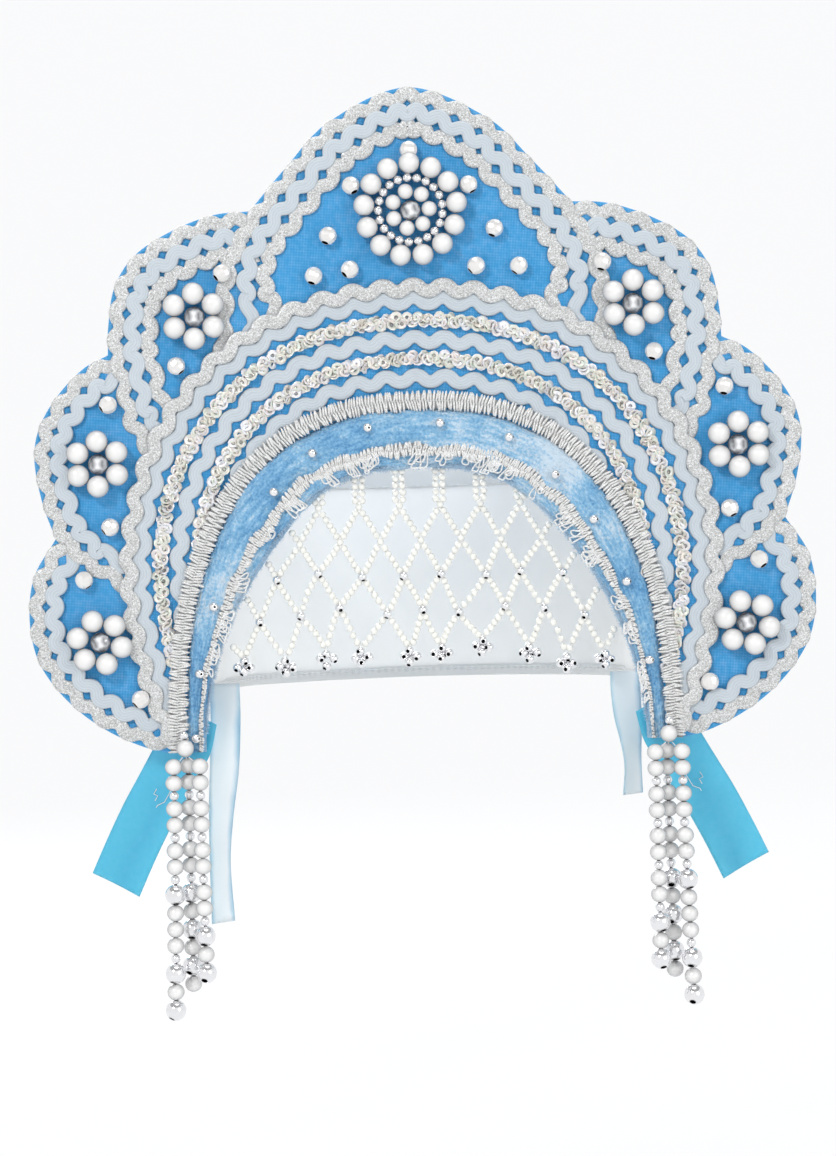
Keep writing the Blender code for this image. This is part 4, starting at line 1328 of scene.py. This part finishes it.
def straight_rows(settings):
    """The white wavy braids, the sequin strings and the glittering border round the arch."""
    low = 0.1 * MM
    for place in ("inner", "middle", "outer"):
        node = f"white_rickrack_{place}"
        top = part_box(node)[1].z - BAND_HIGH.z
        stack = top - settings.swing - settings.width / 2
        shape = Shape()
        base = row_route(stack, settings.width * 0.6)
        wavy_row(shape, base, settings, low)
        shape.build(f"white_row_{place}", [finish("white")], "white_braid", [node])
    for place in ("inner", "outer"):
        node = f"sequin_string_{place}"
        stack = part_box(node)[1].z - BAND_HIGH.z - settings.sequin_row / 2
        route = row_route(stack, settings.sequin_row * 0.45)
        sequin_string(f"sequins_{place}", route, settings, node)
    shape = Shape()
    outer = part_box("white_rickrack_outer")[1].z - BAND_HIGH.z - settings.swing - settings.width / 2
    route = row_route(outer, 0.0)
    wavy_row(shape, route, settings, low + settings.thickness, settings.border - outer)
    shape.build("silver_border_row", [finish("silver")], "silver_braid")


def sequin_string(name, base, settings, node):
    """Cupped sequins, each lying on the one before."""
    draw = random.Random(name)
    along = np.arange(settings.sequin_step, base.length, settings.sequin_step)
    points, left = base.at(along)
    turns, centres, tones = [], [], []
    for i, (point, side) in enumerate(zip(points, left)):
        ahead = np.array([side[1], 0.0, -side[0]])
        across = np.array([side[0], 0.0, side[1]])
        up = np.array([0.0, -1.0, 0.0])
        lean = math.radians(14 + draw.uniform(-34, 30))
        tip = math.radians(draw.uniform(-38, 38))
        tilted = unit(up * math.cos(lean) + ahead * math.sin(lean) + across * math.sin(tip))
        first = unit(np.cross(across, tilted))
        size = settings.sequin_size * draw.uniform(0.88, 1.06)
        turns.append(np.column_stack([first, np.cross(tilted, first), tilted]) * size)
        shift = (-0.24, 0.08, 0.24, -0.08)[i % 4] + draw.uniform(-0.07, 0.07)
        lift = draw.uniform(0.85, 1.15) * MM
        centre = np.array([point[0], FACE_Y - lift, point[1]])
        centres.append(centre + across * shift * settings.sequin_size)
        tones.append(draw.random())
    strewn(name, sequin_form(), turns, centres, [finish("sequin")], "sequins", [node], tones)


def lobe_rows(shapes, spine, rows, spread, tails, settings, mirrored):
    """The braids inside a lobe's edge, as far as the rows round the arch, under which they end."""
    line = Route(spine)
    along = np.arange(0.0, line.length, settings.wave / WAVE_STEPS)
    ends = [1 - reach / max(tail, MM) for reach, tail in zip((along, line.length - along), tails)]
    tail = smoothstep(np.maximum(*ends))
    wave = line.length / max(round(line.length / settings.wave), 1)
    for kind, row, phase, lift in rows:
        inset = settings.inset + row * settings.spacing * (1 + spread * tail)
        swing = wave_swing(along + wave * (0.25 + phase / 2), wave, settings.swing * (1 if row else 0.85))
        middle = line.beside(along, -(inset + swing))
        off, where = off_seam(middle)
        kept = np.flatnonzero(off > np.maximum(row_offset(settings.border, where), 0.7 * settings.gimp))
        if not len(kept):
            continue
        first, last = kept[0], kept[-1]
        middle = middle[first:last + 1]
        reached = along[first:last + 1]
        from_end = np.minimum(reached - along[first], along[last] - reached)
        rise = smoothstep(0.05 + 0.6 * from_end / settings.wave)
        lifts = ((lift + END_DIP) * rise - END_DIP) * settings.thickness
        for sign in (-1, 1) if mirrored else (1,):
            side = (middle * (sign, 1))[::sign]
            braid(shapes[kind], side, lifts[::sign], settings.width, settings.thickness)


def lobes_trim(settings):
    """Glittering and white wavy braids round every lobe, carried on along its tail."""
    for name, lobe, tail, rows, spread in LOBES:
        points, reach = outline_points(lobe, lower=name == "lower"), 0.0
        if tail:
            ends = outline_points(tail)
            points, reach = np.vstack([points, ends]), Route(ends).length
        central = name == "central"
        spine = smooth_line(both_sides(points) if central else points, 12)
        tails = (reach if central else 0.0, reach)
        shapes = {"silver": Shape(), "white": Shape()}
        lobe_rows(shapes, spine, rows, spread, tails, settings, mirrored=not central)
        for kind, shape in shapes.items():
            shape.build(f"{kind}_trim_{name}", [finish(kind)], f"{kind}_braid")


def rotation(*turns):
    """Axes of a form after turns, each an angle and the letter of an axis. The last is done first."""
    made = Matrix.Identity(3)
    for angle, axis in turns:
        made = made @ Matrix.Rotation(angle, 3, axis)
    return np.array(made)


def face_turn(spin=0.0, lean=0.0):
    """Axes of a form whose local Z points out of the face, spun and leaned a little."""
    return rotation((QUARTER_TURN, "X"), (lean, "Y"), (spin, "Z"))


def face_point(across, up):
    """A place in the face's plane, from shares of the half width and of the height."""
    return np.array([across * HALF_WIDTH, FEET + up * CROWN_HEIGHT])


def ring_turn(angle):
    """Axes of a bead threaded along a ring, whose hole follows the ring."""
    along = np.array([-math.sin(angle), 0.0, math.cos(angle)])
    out = np.array([math.cos(angle), 0.0, math.sin(angle)])
    return np.column_stack([out, np.array([0.0, -1.0, 0.0]), along])


def pearl_ring(shape, centre, count, ring, size, lift, turn, form, number=0):
    angles = np.radians(90 + turn) + 2 * math.pi * np.arange(count) / count
    flat = np.column_stack([np.cos(angles), np.sin(angles)]) * ring + centre
    turns = [ring_turn(angle) * size for angle in angles]
    shape.copies(form, turns, on_face(flat, lift + size / 2), number=number)


def pearl_flowers(settings):
    """Six flowers of six pearls, each round a cut stone."""
    form = ball(24, 14, hole=0.07)
    size = settings.flower_pearl
    ring = size / 2 / math.sin(math.pi / FLOWER_PEARLS)
    for name, across, up, turn in FLOWERS:
        for side, sign in SIDES:
            centre = face_point(sign * across, up)
            shape = Shape()
            pearl_ring(shape, centre, FLOWER_PEARLS, ring, size, 0.3 * MM, turn, form)
            node = f"pearl_flower_{name}_{side}"
            shape.build(f"flower_{name}_{side}", [finish("pearl")], "pearl", [node])
            set_stone(f"stone_{name}_{side}", centre, settings, f"crystal_{name}_{side}", turn)


def set_stone(name, centre, settings, node, turn):
    """A cut stone in a thin silver cup."""
    shape = Shape()
    size = settings.stone
    place = on_face([centre], 1.1 * MM)
    shape.copies(cut_form(), [face_turn(math.radians(turn)) * (size * 1.02)], place)
    cup = turned(CUP_SECTION, 20)
    shape.copies(cup, [face_turn() * size], place, number=1)
    shape.build(name, [finish("stone"), finish("chrome")], "crystal", [node], sharp=12.0)


def medallion(settings):
    """The large rosette under the peak."""
    centre = face_point(0.0, MEDALLION_UP)
    shape = Shape()
    forms = {"pearl": ball(24, 14, hole=0.07), "silver": ball(14, 10, hole=0.12)}
    for kind, count, ring, size, lift, turn in MEDALLION_RINGS:
        number = int(kind == "silver")
        pearl_ring(shape, centre, count, ring, size, lift, turn, forms[kind], number)
    shape.build("medallion_beads", [finish("pearl"), finish("chrome")], "pearl", ["medallion_pearls"])
    set_stone("medallion_stone", centre, settings, "medallion_crystal", 20.0)


def studs(settings):
    """Small faceted studs on the blue fields, with the mouth of the hole at one side, painted dark as
    shade.
    """
    draw = random.Random(5)
    form = ball(11, 6, hole=0.2)
    flatten = np.diag((1.0, 0.72, 1.0))
    turns, places = [], []
    for across, up in STUDS:
        aside = math.radians(draw.uniform(66, 82))
        around = draw.choice((-0.7, 0.45, 0.0, 1.05)) + draw.uniform(-0.3, 0.3)
        spin = draw.uniform(0, 1)
        turn = rotation((around, "Y"), (aside, "X"), (QUARTER_TURN, "X"), (spin, "Z"))
        turns.append(flatten @ turn * settings.stud)
        places.append(face_point(across, up))
    centres = on_face(places, 0.4 * settings.stud)
    strewn("face_studs", form, turns, centres, [finish("stud")], "crystal", flat=True)


def band_beads(settings):
    """Small silver beads sewn on the band."""
    draw = random.Random(9)
    form = ball(16, 12, hole=0.12)
    turns, centres = [], []
    for share in BAND_BEADS:
        s = (1 + share) * HALF_ARCH
        place = band_place(s, 0.2 + 0.2 * smoothstep((abs(share) - 0.15) / 0.2))
        lean = draw.uniform(-0.6, 0.6)
        turns.append(face_turn(draw.uniform(0, 3), lean + 0.9) * settings.band_bead)
        centres.append(place - (0, settings.band_bead * 0.42, 0))
    strewn("band_beads", form, turns, centres, [finish("chrome")], "strand_beads")


def strands(settings):
    """The hanger pearls and the strands under them."""
    draw = random.Random(31)
    forms = {"P": ball(20, 12, hole=0.08), "S": ball(14, 10, hole=0.14), "B": ball(20, 14, hole=0.16)}
    for side, sign in SIDES:
        low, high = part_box(f"hanger_pearl_{side}")
        hanger = np.array((low + high) / 2)
        shape = Shape()
        shape.copies(forms["P"], [np.eye(3) * settings.hanger], [hanger])
        above = np.array((0.06 * sign, 0.08, 0.72)) * settings.hanger
        shape.copies(forms["S"], [np.eye(3) * 0.5 * settings.hanger], [hanger + above], number=1)
        finishes = [finish("pearl"), finish("chrome")]
        shape.build(f"hanger_{side}", finishes, "pearl", [f"hanger_pearl_{side}"])
        top = hanger - (0, 0, settings.hanger / 2)
        for name, beads, across, back, sway, forward in STRANDS:
            shape = Shape()
            lead = STRAND_LEAD * STRAND_PEARL
            length = lead + sum(STRAND_SIZES[bead][0] for bead in beads)

            def place(drop):
                spread = STRAND_START + (1 - STRAND_START) * min(drop / lead, 1.0)
                moved = float(np.interp(drop / length, *np.transpose(STRAND_ROUTE)))
                return top + np.array([
                    STRAND_PEARL * sign * (across * spread + sway * moved),
                    STRAND_PEARL * (back * spread + forward * moved), -drop,
                ])

            tube(shape, [place(length * t) for t in np.linspace(0.0, 0.98, 24)], 0.25 * MM, number=2)
            drop = lead
            for bead in beads:
                step, size = STRAND_SIZES[bead]
                leans = [draw.uniform(*span) for span in STRAND_LEANS[bead]]
                turn = rotation(*zip(leans, "XY")) * np.array((size, size, step * 1.02))
                shape.copies(forms[bead], [turn], [place(drop + step / 2)], number=int(bead != "P"))
                drop += step
            shape.build(f"strand_{side}_{name}", [finish("pearl"), finish("chrome"), finish("thread")],
                        "strand_beads", [f"bead_strand_{side}_{name}"])


def knot(column, row):
    """Place of a knot of the net in the face's plane."""
    return np.array([column * NET_PITCH, -NET_FIRST_ROW - row * NET_ROW])


def pearl_net(settings):
    """Strings of small pearls from knot to knot, silver beads on the lower knots, drops below."""
    draw = random.Random(17)
    small, silver = ball(10, 8, hole=0.1), ball(12, 9, hole=0.21)
    columns = int(SEAM_HALF_WIDTH / NET_PITCH) + 1
    pearls, beads, drops, lines = [], [], [], []

    def string(start, end, count, margin):
        for share in np.linspace(margin, 1 - margin, count):
            pearls.append(start + (end - start) * share)
        lines.append((start, end))

    for row in range(NET_ROWS + 1):
        shift = 0.5 if row % 2 == 0 else 0.0
        for column in range(-columns, columns + 1):
            here = knot(column + shift, row)
            if row == 0:
                for side in (-0.5, 0.5):
                    aside = side * 1.05 * settings.net_pearl
                    up = here + (aside, NET_FIRST_ROW + 3 * MM)
                    string(here + (aside, 0.8 * MM), up, 6, 0.09)
            if row < NET_ROWS:
                for side in (-0.5, 0.5):
                    there = knot(column + shift + side, row + 1)
                    string(here, there, 5, 0.18)
            if row in (2, 3):
                beads.append(here)
            elif row == NET_ROWS:
                drops.append(here)
            else:
                pearls.append(here)

    def inside(points, margin):
        off, where = off_seam(points)
        return -off > band_width(where) + margin

    def slack(points):
        """The uneven hang of a strung net: it drifts and sinks at its sides, more towards its foot."""
        low = np.clip((-points[:, 1] - NET_FIRST_ROW) / (NET_ROWS * NET_ROW), 0.0, 1.0)
        drift = np.array([
            [noise.noise(Vector((x / (24 * MM), z / (30 * MM), layer))) for layer in (0.0, 5.0)]
            for x, z in points
        ])
        sink = 5.0 * MM * smoothstep((np.abs(points[:, 0]) - 40 * MM) / (30 * MM))
        return points + (drift * 5.0 * MM - np.column_stack([np.zeros_like(sink), sink])) * low[:, None]

    def depth(points):
        """A shallow belly, so that the net isn't a flat plate."""
        return MID_Y + 0.9 * MM * np.sin(points[:, 0] / (19 * MM)) * np.cos(points[:, 1] / (23 * MM))

    pearls = np.array(pearls)
    pearls = pearls[inside(pearls, 0.2 * settings.net_pearl)]
    pearls = pearls + [[draw.uniform(-0.12, 0.12) * MM for _ in (0, 1)] for _ in pearls]
    shape = Shape()

    def scatter(form, size, flat, number, least, most, forward=0.0):
        flat = slack(flat)
        centres = np.column_stack([flat[:, 0], depth(flat) - forward, flat[:, 1]])
        turns = [
            rotation((draw.uniform(least, most), "X"), (draw.uniform(-0.6, 0.6), "Y")) * size
            for _ in flat
        ]
        shape.copies(form, turns, centres, number=number)

    scatter(small, settings.net_pearl, pearls, 0, -0.5, 0.5)
    size = settings.knot_bead
    beads = np.array(beads)
    scatter(silver, size, beads[inside(beads, 0.3 * size)], 1, -0.95, -0.45, 0.8 * MM)
    drops = np.array(drops)
    drops = slack(drops[inside(drops, 0.2 * NET_PITCH)])
    for drop in drops:
        count = draw.choice((4, 5, 5))
        for across, up, forward in NET_DROP[:count]:
            centre = np.array([drop[0], MID_Y, drop[1]])
            centre += np.array([across, -forward, up + 0.75]) * size
            centre += [draw.uniform(-0.12, 0.12) * size for _ in range(3)]
            turn = rotation((draw.uniform(-1.7, -0.6), "X"), (draw.uniform(-0.9, 0.9), "Y"))
            shape.copies(silver, [turn * size], [centre], number=1)
    for start, end in lines:
        ends = np.array([start, end])
        if inside(ends, -1.5 * MM).all():
            flat = slack(ends[0] + (ends[1] - ends[0]) * np.linspace(0.0, 1.0, 4)[:, None])
            thread = np.column_stack([flat[:, 0], depth(flat), flat[:, 1]])
            tube(shape, thread, 0.2 * MM, sides=4, number=2)
    shape.build("pearl_net", [finish("net_pearl"), finish("chrome"), finish("thread")],
                "net_pearls", ["bead_net"])


def sheet_shape(grid, places, thickness):
    """A cloth of the given thickness over a grid of points."""
    grid = np.asarray(grid, float)
    normal = unit(np.cross(np.gradient(grid, axis=0), np.gradient(grid, axis=1)))
    front, back = grid + normal * thickness / 2, grid - normal * thickness / 2
    rings = np.concatenate([front, back[:, ::-1]], axis=1)
    spots = np.concatenate([places, places[:, ::-1]], axis=1)
    shape = Shape()
    shape.rings(rings, spots, ends=False)
    for k, order in ((0, 1), (-1, -1)):
        strip = np.stack([front[k], back[k]], axis=0)
        n = strip.shape[1]
        ids = np.arange(n - 1)
        faces = np.column_stack([ids, ids + 1, ids + 1 + n, ids + n])[:, ::order]
        shape.add(strip, faces, np.concatenate([places[k], places[k]]))
    return shape


def weld(piece, distance=1e-6):
    """Joins the points that lie on each other."""
    held = bmesh.new()
    held.from_mesh(piece.data)
    bmesh.ops.remove_doubles(held, verts=held.verts, dist=distance)
    bmesh.ops.recalc_face_normals(held, faces=held.faces)
    held.to_mesh(piece.data)
    held.free()


def hung_ribbon(name, grid, length, width, thickness, kind, slot, node):
    """A ribbon over a grid of points, with its texture places in millimetres."""
    grid = np.asarray(grid)
    drops = np.linspace(0.0, length / MM, grid.shape[0])
    spots = np.linspace(0.0, width / MM, grid.shape[1])
    places = np.stack(np.meshgrid(drops, spots, indexing="ij"), axis=-1)
    piece = sheet_shape(grid, places, thickness).build(name, [finish(kind)], slot, [node])
    weld(piece)
    return piece


def panel_route():
    """The panel's way round the head, seen from above."""
    half = PANEL_HIGH.x - 0.6 * MM
    front = PANEL_LOW.y
    middle = PANEL_HIGH.y - 0.6 * MM - half
    halfway = (front + middle) / 2
    angle = math.pi * (1 - np.arange(61) / 60)
    arc = np.column_stack([np.cos(angle) * half, middle + np.sin(angle) * half])
    return Route([(-half, front), (-half, halfway), *arc, (half, halfway), (half, front)])


def panel_point(route, distance, height, out=0.0):
    """A place on the panel: slack waves that grow towards its lower edge."""
    points, left = route.at(distance)
    ease = np.clip(np.minimum(distance, route.length - distance) / (40 * MM), 0.0, 1.0)
    wave = np.sin(distance / (17 * MM)) * 0.9 + np.sin(distance / (7.3 * MM) + 1.3) * 0.35
    slack = wave * MM * ease * (0.4 + 0.8 * (PANEL_HIGH.z - height) / (PANEL_HIGH.z - PANEL_LOW.z))
    flat = points + left * (slack + out)[:, None]
    return np.column_stack([flat[:, 0], flat[:, 1], height])


def back_panel(settings):
    """The thin cloth round the back of the head, with its two hems and their stitches."""
    route = panel_route()
    along = np.linspace(0.0, route.length, 180)
    low, high = PANEL_LOW.z, PANEL_HIGH.z

    def strip(bottom, top, rows, out):
        heights = np.linspace(bottom, top, rows)
        even = np.ones(len(along))
        rows = [panel_point(route, along, even * z, even * out) for z in heights]
        grid = np.stack(rows, axis=1)
        u, v = np.meshgrid(along / MM, (heights - low) / MM, indexing="ij")
        return grid, np.stack([u, v], axis=-1)

    shape = sheet_shape(*strip(low, high, 26, 0.0), PANEL_THICKNESS)
    cloth = shape.build("panel_cloth", [finish("panel")], "sheer_cloth", ["back_panel"])
    weld(cloth)
    hems = Shape()
    for bottom, top in ((low, low + settings.hem), (high - settings.top_hem, high)):
        for out in (-HEM_OUT, HEM_OUT):
            part = sheet_shape(*strip(bottom, top, 7, out), HEM_THICKNESS)
            hems.add(np.vstack(part.points), part.faces, np.vstack(part.places))
    hem = hems.build("panel_hems", [finish("panel")], "sheer_cloth")
    weld(hem)
    stitch = thread_form(1.0, 0.22, 0.16, sides=4, steps=3)
    turns, centres = [], []
    spots = np.arange(4 * MM, route.length - 4 * MM, STITCH_STEP)
    lower, upper = low + settings.hem, high - settings.top_hem
    even = np.ones(len(spots))
    _, left = route.at(spots)
    for height in (lower - 0.9 * MM, lower - 2.0 * MM, upper + 1.0 * MM):
        for sign in (1, -1):
            centres += list(panel_point(route, spots, even * height, even * sign * STITCH_OUT))
            for side in left:
                ahead = np.array([side[1], -side[0], 0.0])
                up = np.array([side[0], side[1], 0.0]) * sign
                axes = np.column_stack([ahead * 2.3, np.cross(up, ahead) * 2, up * 1.2])
                turns.append(axes * MM)
    stitches = strewn("panel_stitches", stitch, turns, centres, [finish("thread")], "sheer_cloth")


def tie_ribbons():
    """The satin ribbons behind the feet, with a few white stitches where each is sewn on."""
    width, length = RIBBON_WIDTH, RIBBON_LENGTH
    route = smooth_line(RIBBON_ROUTE, 10)
    lean = math.atan2(RIBBON_ROUTE[-1][1] - RIBBON_ROUTE[1][1], 1 - RIBBON_ROUTE[1][0])
    shares = np.linspace(0.0, 1.0, 13)
    for side, sign in SIDES:
        node = f"tie_ribbon_{side}"
        low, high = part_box(node)
        across = np.array([math.cos(lean) * sign, 0.0, math.sin(lean)])
        inner = high.x if sign < 0 else low.x
        top = np.array([inner, low.y + 0.5 * MM, high.z - math.sin(lean) * width])
        grid = []
        for drop, out, back in route:
            curl = 1.7 * MM * math.sin(2.4 * drop * math.pi + 0.6) * min(3 * drop, 1.0)
            edge = top + np.array([sign * out, back, -drop]) * length
            row = edge + across * width * shares[:, None]
            row[:, 1] += curl * np.sin(math.pi * shares)
            grid.append(row)
        ribbon = hung_ribbon(f"satin_ribbon_{side}", grid, length, width, SATIN_THICKNESS,
                             "satin", "turquoise_satin", node)
        threads = Shape()
        for first, last, near, far in RIBBON_STITCHES:
            spots = []
            for t in np.linspace(0.0, 1.0, 7):
                row = grid[round((first + (last - first) * t) * (len(route) - 1))]
                place = row[round((near + (far - near) * t) * (len(shares) - 1))]
                spots.append(place - (0.0, (0.35 + 0.3 * math.sin(math.pi * t)) * MM, 0.0))
            tube(threads, spots, 0.17 * MM)
        stitches = threads.build(f"ribbon_stitches_{side}", [finish("thread")], "turquoise_satin")


def pale_ribbons():
    """The narrow pale ribbons inside the panel's front corners."""
    half = PALE_WIDTH / 2
    route = smooth_line(PALE_ROUTE, 8)
    shares = np.linspace(-1.0, 1.0, 9)
    for side, sign in SIDES:
        node = f"pale_ribbon_{side}"
        low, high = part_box(node)
        length = high.z - low.z
        edge = low.x if sign < 0 else high.x
        grid = []
        for drop, out, turn in route:
            angle = math.radians(turn)
            wide = np.array([math.cos(angle), math.sin(angle), 0.0]) * half
            ripple = np.array([0.0, 0.5 * MM * math.sin(drop * 14), 0.0])
            middle = np.array([edge - sign * half, low.y + half * 0.8, high.z])
            middle = middle + np.array([sign * out, 0.0, -drop]) * length + ripple
            grid.append(middle + wide * shares[:, None])
        grid = np.array(grid)
        grid[..., 0] += edge - (grid[..., 0].min() if sign < 0 else grid[..., 0].max())
        ribbon = hung_ribbon(f"pale_strip_{side}", grid, length, PALE_WIDTH, PALE_THICKNESS,
                             "pale", "sheer_ribbon", node)


def area_light(name, place, aim, size, power, colour):
    data = bpy.data.lights.new(name, "AREA")
    data.shape = "DISK"
    data.size = size
    data.energy = power
    data.color = colour
    lamp = placed(name, data)
    lamp.location = place
    lamp.rotation_euler = (Vector(aim) - Vector(place)).to_track_quat("-Z", "Y").to_euler()


def studio(settings):
    """A pale floor that rises into a wall all round, soft lamps, an even sky and the camera."""
    sides = 72
    floor_z = CAD_BOX[0][2] - FLOOR_DROP
    rows = [(0.0, 0.0), (1.0, 0.0), (FLOOR_REACH, 0.0)]
    for angle in np.linspace(0.0, math.pi / 2, 12)[1:]:
        rows.append((FLOOR_REACH + FLOOR_RISE * math.sin(angle), FLOOR_RISE * (1 - math.cos(angle))))
    rows.append((FLOOR_REACH + FLOOR_RISE, WALL_HEIGHT))
    points, faces, _ = turned([(radius, height + floor_z, 0.5) for radius, height in rows], sides)
    mesh = bpy.data.meshes.new("studio_floor")
    mesh.from_pydata(points[:-1].tolist(), [], faces[:-sides])
    mesh.polygons.foreach_set("use_smooth", np.ones(len(mesh.polygons), bool))
    pale = new_material("pale_floor", srgb(244, 245, 246), 0.95)
    tree = pale.node_tree
    mottle = cloudy(tree, object_places(tree), 1.5)
    colour_steps(pale, mottle, ((0.3, srgb(243, 244, 245)), (0.7, srgb(247, 248, 248))))
    glow = add_node(tree, "ShaderNodeEmission", Strength=1.0, Color=(0.985, 0.99, 1.0, 1.0))
    seen = tree.nodes.new("ShaderNodeLightPath")
    either = maths(tree, "MAXIMUM", seen.outputs["Is Camera Ray"], seen.outputs["Is Glossy Ray"])
    mix_shader(pale, times(tree, either, 0.94), glow)
    mesh.materials.append(pale)
    stage = placed("studio_floor", mesh)

    for name, place, aim, size, setting, share, colour in LAMPS:
        area_light(name, place, aim, size, share * getattr(settings, setting), colour)

    world = bpy.data.worlds.new("soft_sky")
    world.use_nodes = True
    sky = world.node_tree.nodes["Background"].inputs
    sky["Color"].default_value = (1.0, 1.0, 1.0, 1.0)
    sky["Strength"].default_value = settings.sky
    bpy.context.scene.world = world

    lens = bpy.data.cameras.new("view")
    lens.sensor_width = 36.0
    lens.lens = settings.lens
    lens.clip_start = 0.01
    camera = placed("view", lens)
    camera.location = (settings.centre_x, FACE_Y - settings.distance, settings.centre_z)
    camera.rotation_euler = (QUARTER_TURN, settings.roll, 0)
    bpy.context.scene.camera = camera
    bpy.context.scene.view_settings.view_transform = "Standard"


class HEADDRESS_OT_board(bpy.types.Operator):
    """Cover the board in its woven cloth"""

    bl_idname = "headdress.board"
    bl_label = "Board cloth"

    def execute(self, context):
        covered_board(context.scene.headdress_cloth)
        return {"FINISHED"}


class HEADDRESS_OT_band(bpy.types.Operator):
    """Make the padded band with its lip fibres"""

    bl_idname = "headdress.band"
    bl_label = "Padded band"

    def execute(self, context):
        band_skin(context.scene.headdress_cloth)
        lip_fibres()
        return {"FINISHED"}


class HEADDRESS_OT_loop_braids(bpy.types.Operator):
    """Lay the looped braids on the seam and on the band"""

    bl_idname = "headdress.loop_braids"
    bl_label = "Looped braids"

    def execute(self, context):
        seam_braid(context.scene.headdress_trims)
        lip_braid(context.scene.headdress_trims)
        return {"FINISHED"}


class HEADDRESS_OT_rows(bpy.types.Operator):
    """Lay the rows of wavy braid and sequins round the arch"""

    bl_idname = "headdress.rows"
    bl_label = "Rows round the arch"

    def execute(self, context):
        straight_rows(context.scene.headdress_trims)
        return {"FINISHED"}


class HEADDRESS_OT_lobes(bpy.types.Operator):
    """Lay the wavy braids round every lobe"""

    bl_idname = "headdress.lobes"
    bl_label = "Lobe braids"

    def execute(self, context):
        lobes_trim(context.scene.headdress_trims)
        return {"FINISHED"}


class HEADDRESS_OT_pearls(bpy.types.Operator):
    """Set the pearl flowers, the medallion, the studs and the band's beads"""

    bl_idname = "headdress.pearls"
    bl_label = "Pearls and stones"

    def execute(self, context):
        settings = context.scene.headdress_beads
        pearl_flowers(settings)
        medallion(settings)
        studs(settings)
        band_beads(settings)
        return {"FINISHED"}


class HEADDRESS_OT_strands(bpy.types.Operator):
    """Hang the bead strands"""

    bl_idname = "headdress.strands"
    bl_label = "Bead strands"

    def execute(self, context):
        strands(context.scene.headdress_beads)
        return {"FINISHED"}


class HEADDRESS_OT_net(bpy.types.Operator):
    """String the pearl net in the arch"""

    bl_idname = "headdress.net"
    bl_label = "Pearl net"

    def execute(self, context):
        pearl_net(context.scene.headdress_beads)
        return {"FINISHED"}


class HEADDRESS_OT_panel(bpy.types.Operator):
    """Hang the thin cloth panel at the back"""

    bl_idname = "headdress.panel"
    bl_label = "Back panel"

    def execute(self, context):
        back_panel(context.scene.headdress_cloth)
        return {"FINISHED"}


class HEADDRESS_OT_ribbons(bpy.types.Operator):
    """Hang the satin and the pale ribbons"""

    bl_idname = "headdress.ribbons"
    bl_label = "Ribbons"

    def execute(self, context):
        tie_ribbons()
        pale_ribbons()
        return {"FINISHED"}


class HEADDRESS_OT_stage(bpy.types.Operator):
    """Set up the floor, the lights and the camera"""

    bl_idname = "headdress.stage"
    bl_label = "Stage"

    def execute(self, context):
        studio(context.scene.headdress_stage)
        return {"FINISHED"}


OPERATORS = (
    HEADDRESS_OT_board, HEADDRESS_OT_band, HEADDRESS_OT_loop_braids, HEADDRESS_OT_rows,
    HEADDRESS_OT_lobes, HEADDRESS_OT_pearls, HEADDRESS_OT_strands, HEADDRESS_OT_net,
    HEADDRESS_OT_panel, HEADDRESS_OT_ribbons, HEADDRESS_OT_stage,
)
SETTINGS = (
    ("cloth", ClothSettings), ("trims", TrimSettings), ("beads", BeadSettings), ("stage", StageSettings),
)


class HEADDRESS_PT_panel(bpy.types.Panel):
    """Sizes, colours and steps of the headdress"""

    bl_label = "Headdress"
    bl_idname = "HEADDRESS_PT_panel"
    bl_space_type = "VIEW_3D"
    bl_region_type = "UI"
    bl_category = "Headdress"

    def draw(self, context):
        for operator in OPERATORS:
            self.layout.operator(operator.bl_idname)
        for name, group in SETTINGS:
            box = self.layout.box()
            box.label(text=name.capitalize())
            for setting in group.__annotations__:
                box.prop(getattr(context.scene, f"headdress_{name}"), setting)


def register():
    for name, group in SETTINGS:
        bpy.utils.register_class(group)
        setattr(bpy.types.Scene, f"headdress_{name}", bpy.props.PointerProperty(type=group))
    for operator in OPERATORS:
        bpy.utils.register_class(operator)
    bpy.utils.register_class(HEADDRESS_PT_panel)


def unregister():
    bpy.utils.unregister_class(HEADDRESS_PT_panel)
    for operator in reversed(OPERATORS):
        bpy.utils.unregister_class(operator)
    for name, group in reversed(SETTINGS):
        delattr(bpy.types.Scene, f"headdress_{name}")
        bpy.utils.unregister_class(group)


def main():
    register()
    bpy.ops.headdress.board()
    bpy.ops.headdress.band()
    bpy.ops.headdress.loop_braids()
    bpy.ops.headdress.rows()
    bpy.ops.headdress.lobes()
    bpy.ops.headdress.pearls()
    bpy.ops.headdress.strands()
    bpy.ops.headdress.net()
    bpy.ops.headdress.panel()
    bpy.ops.headdress.ribbons()
    bpy.ops.headdress.stage()


if __name__ == "__main__":
    main()
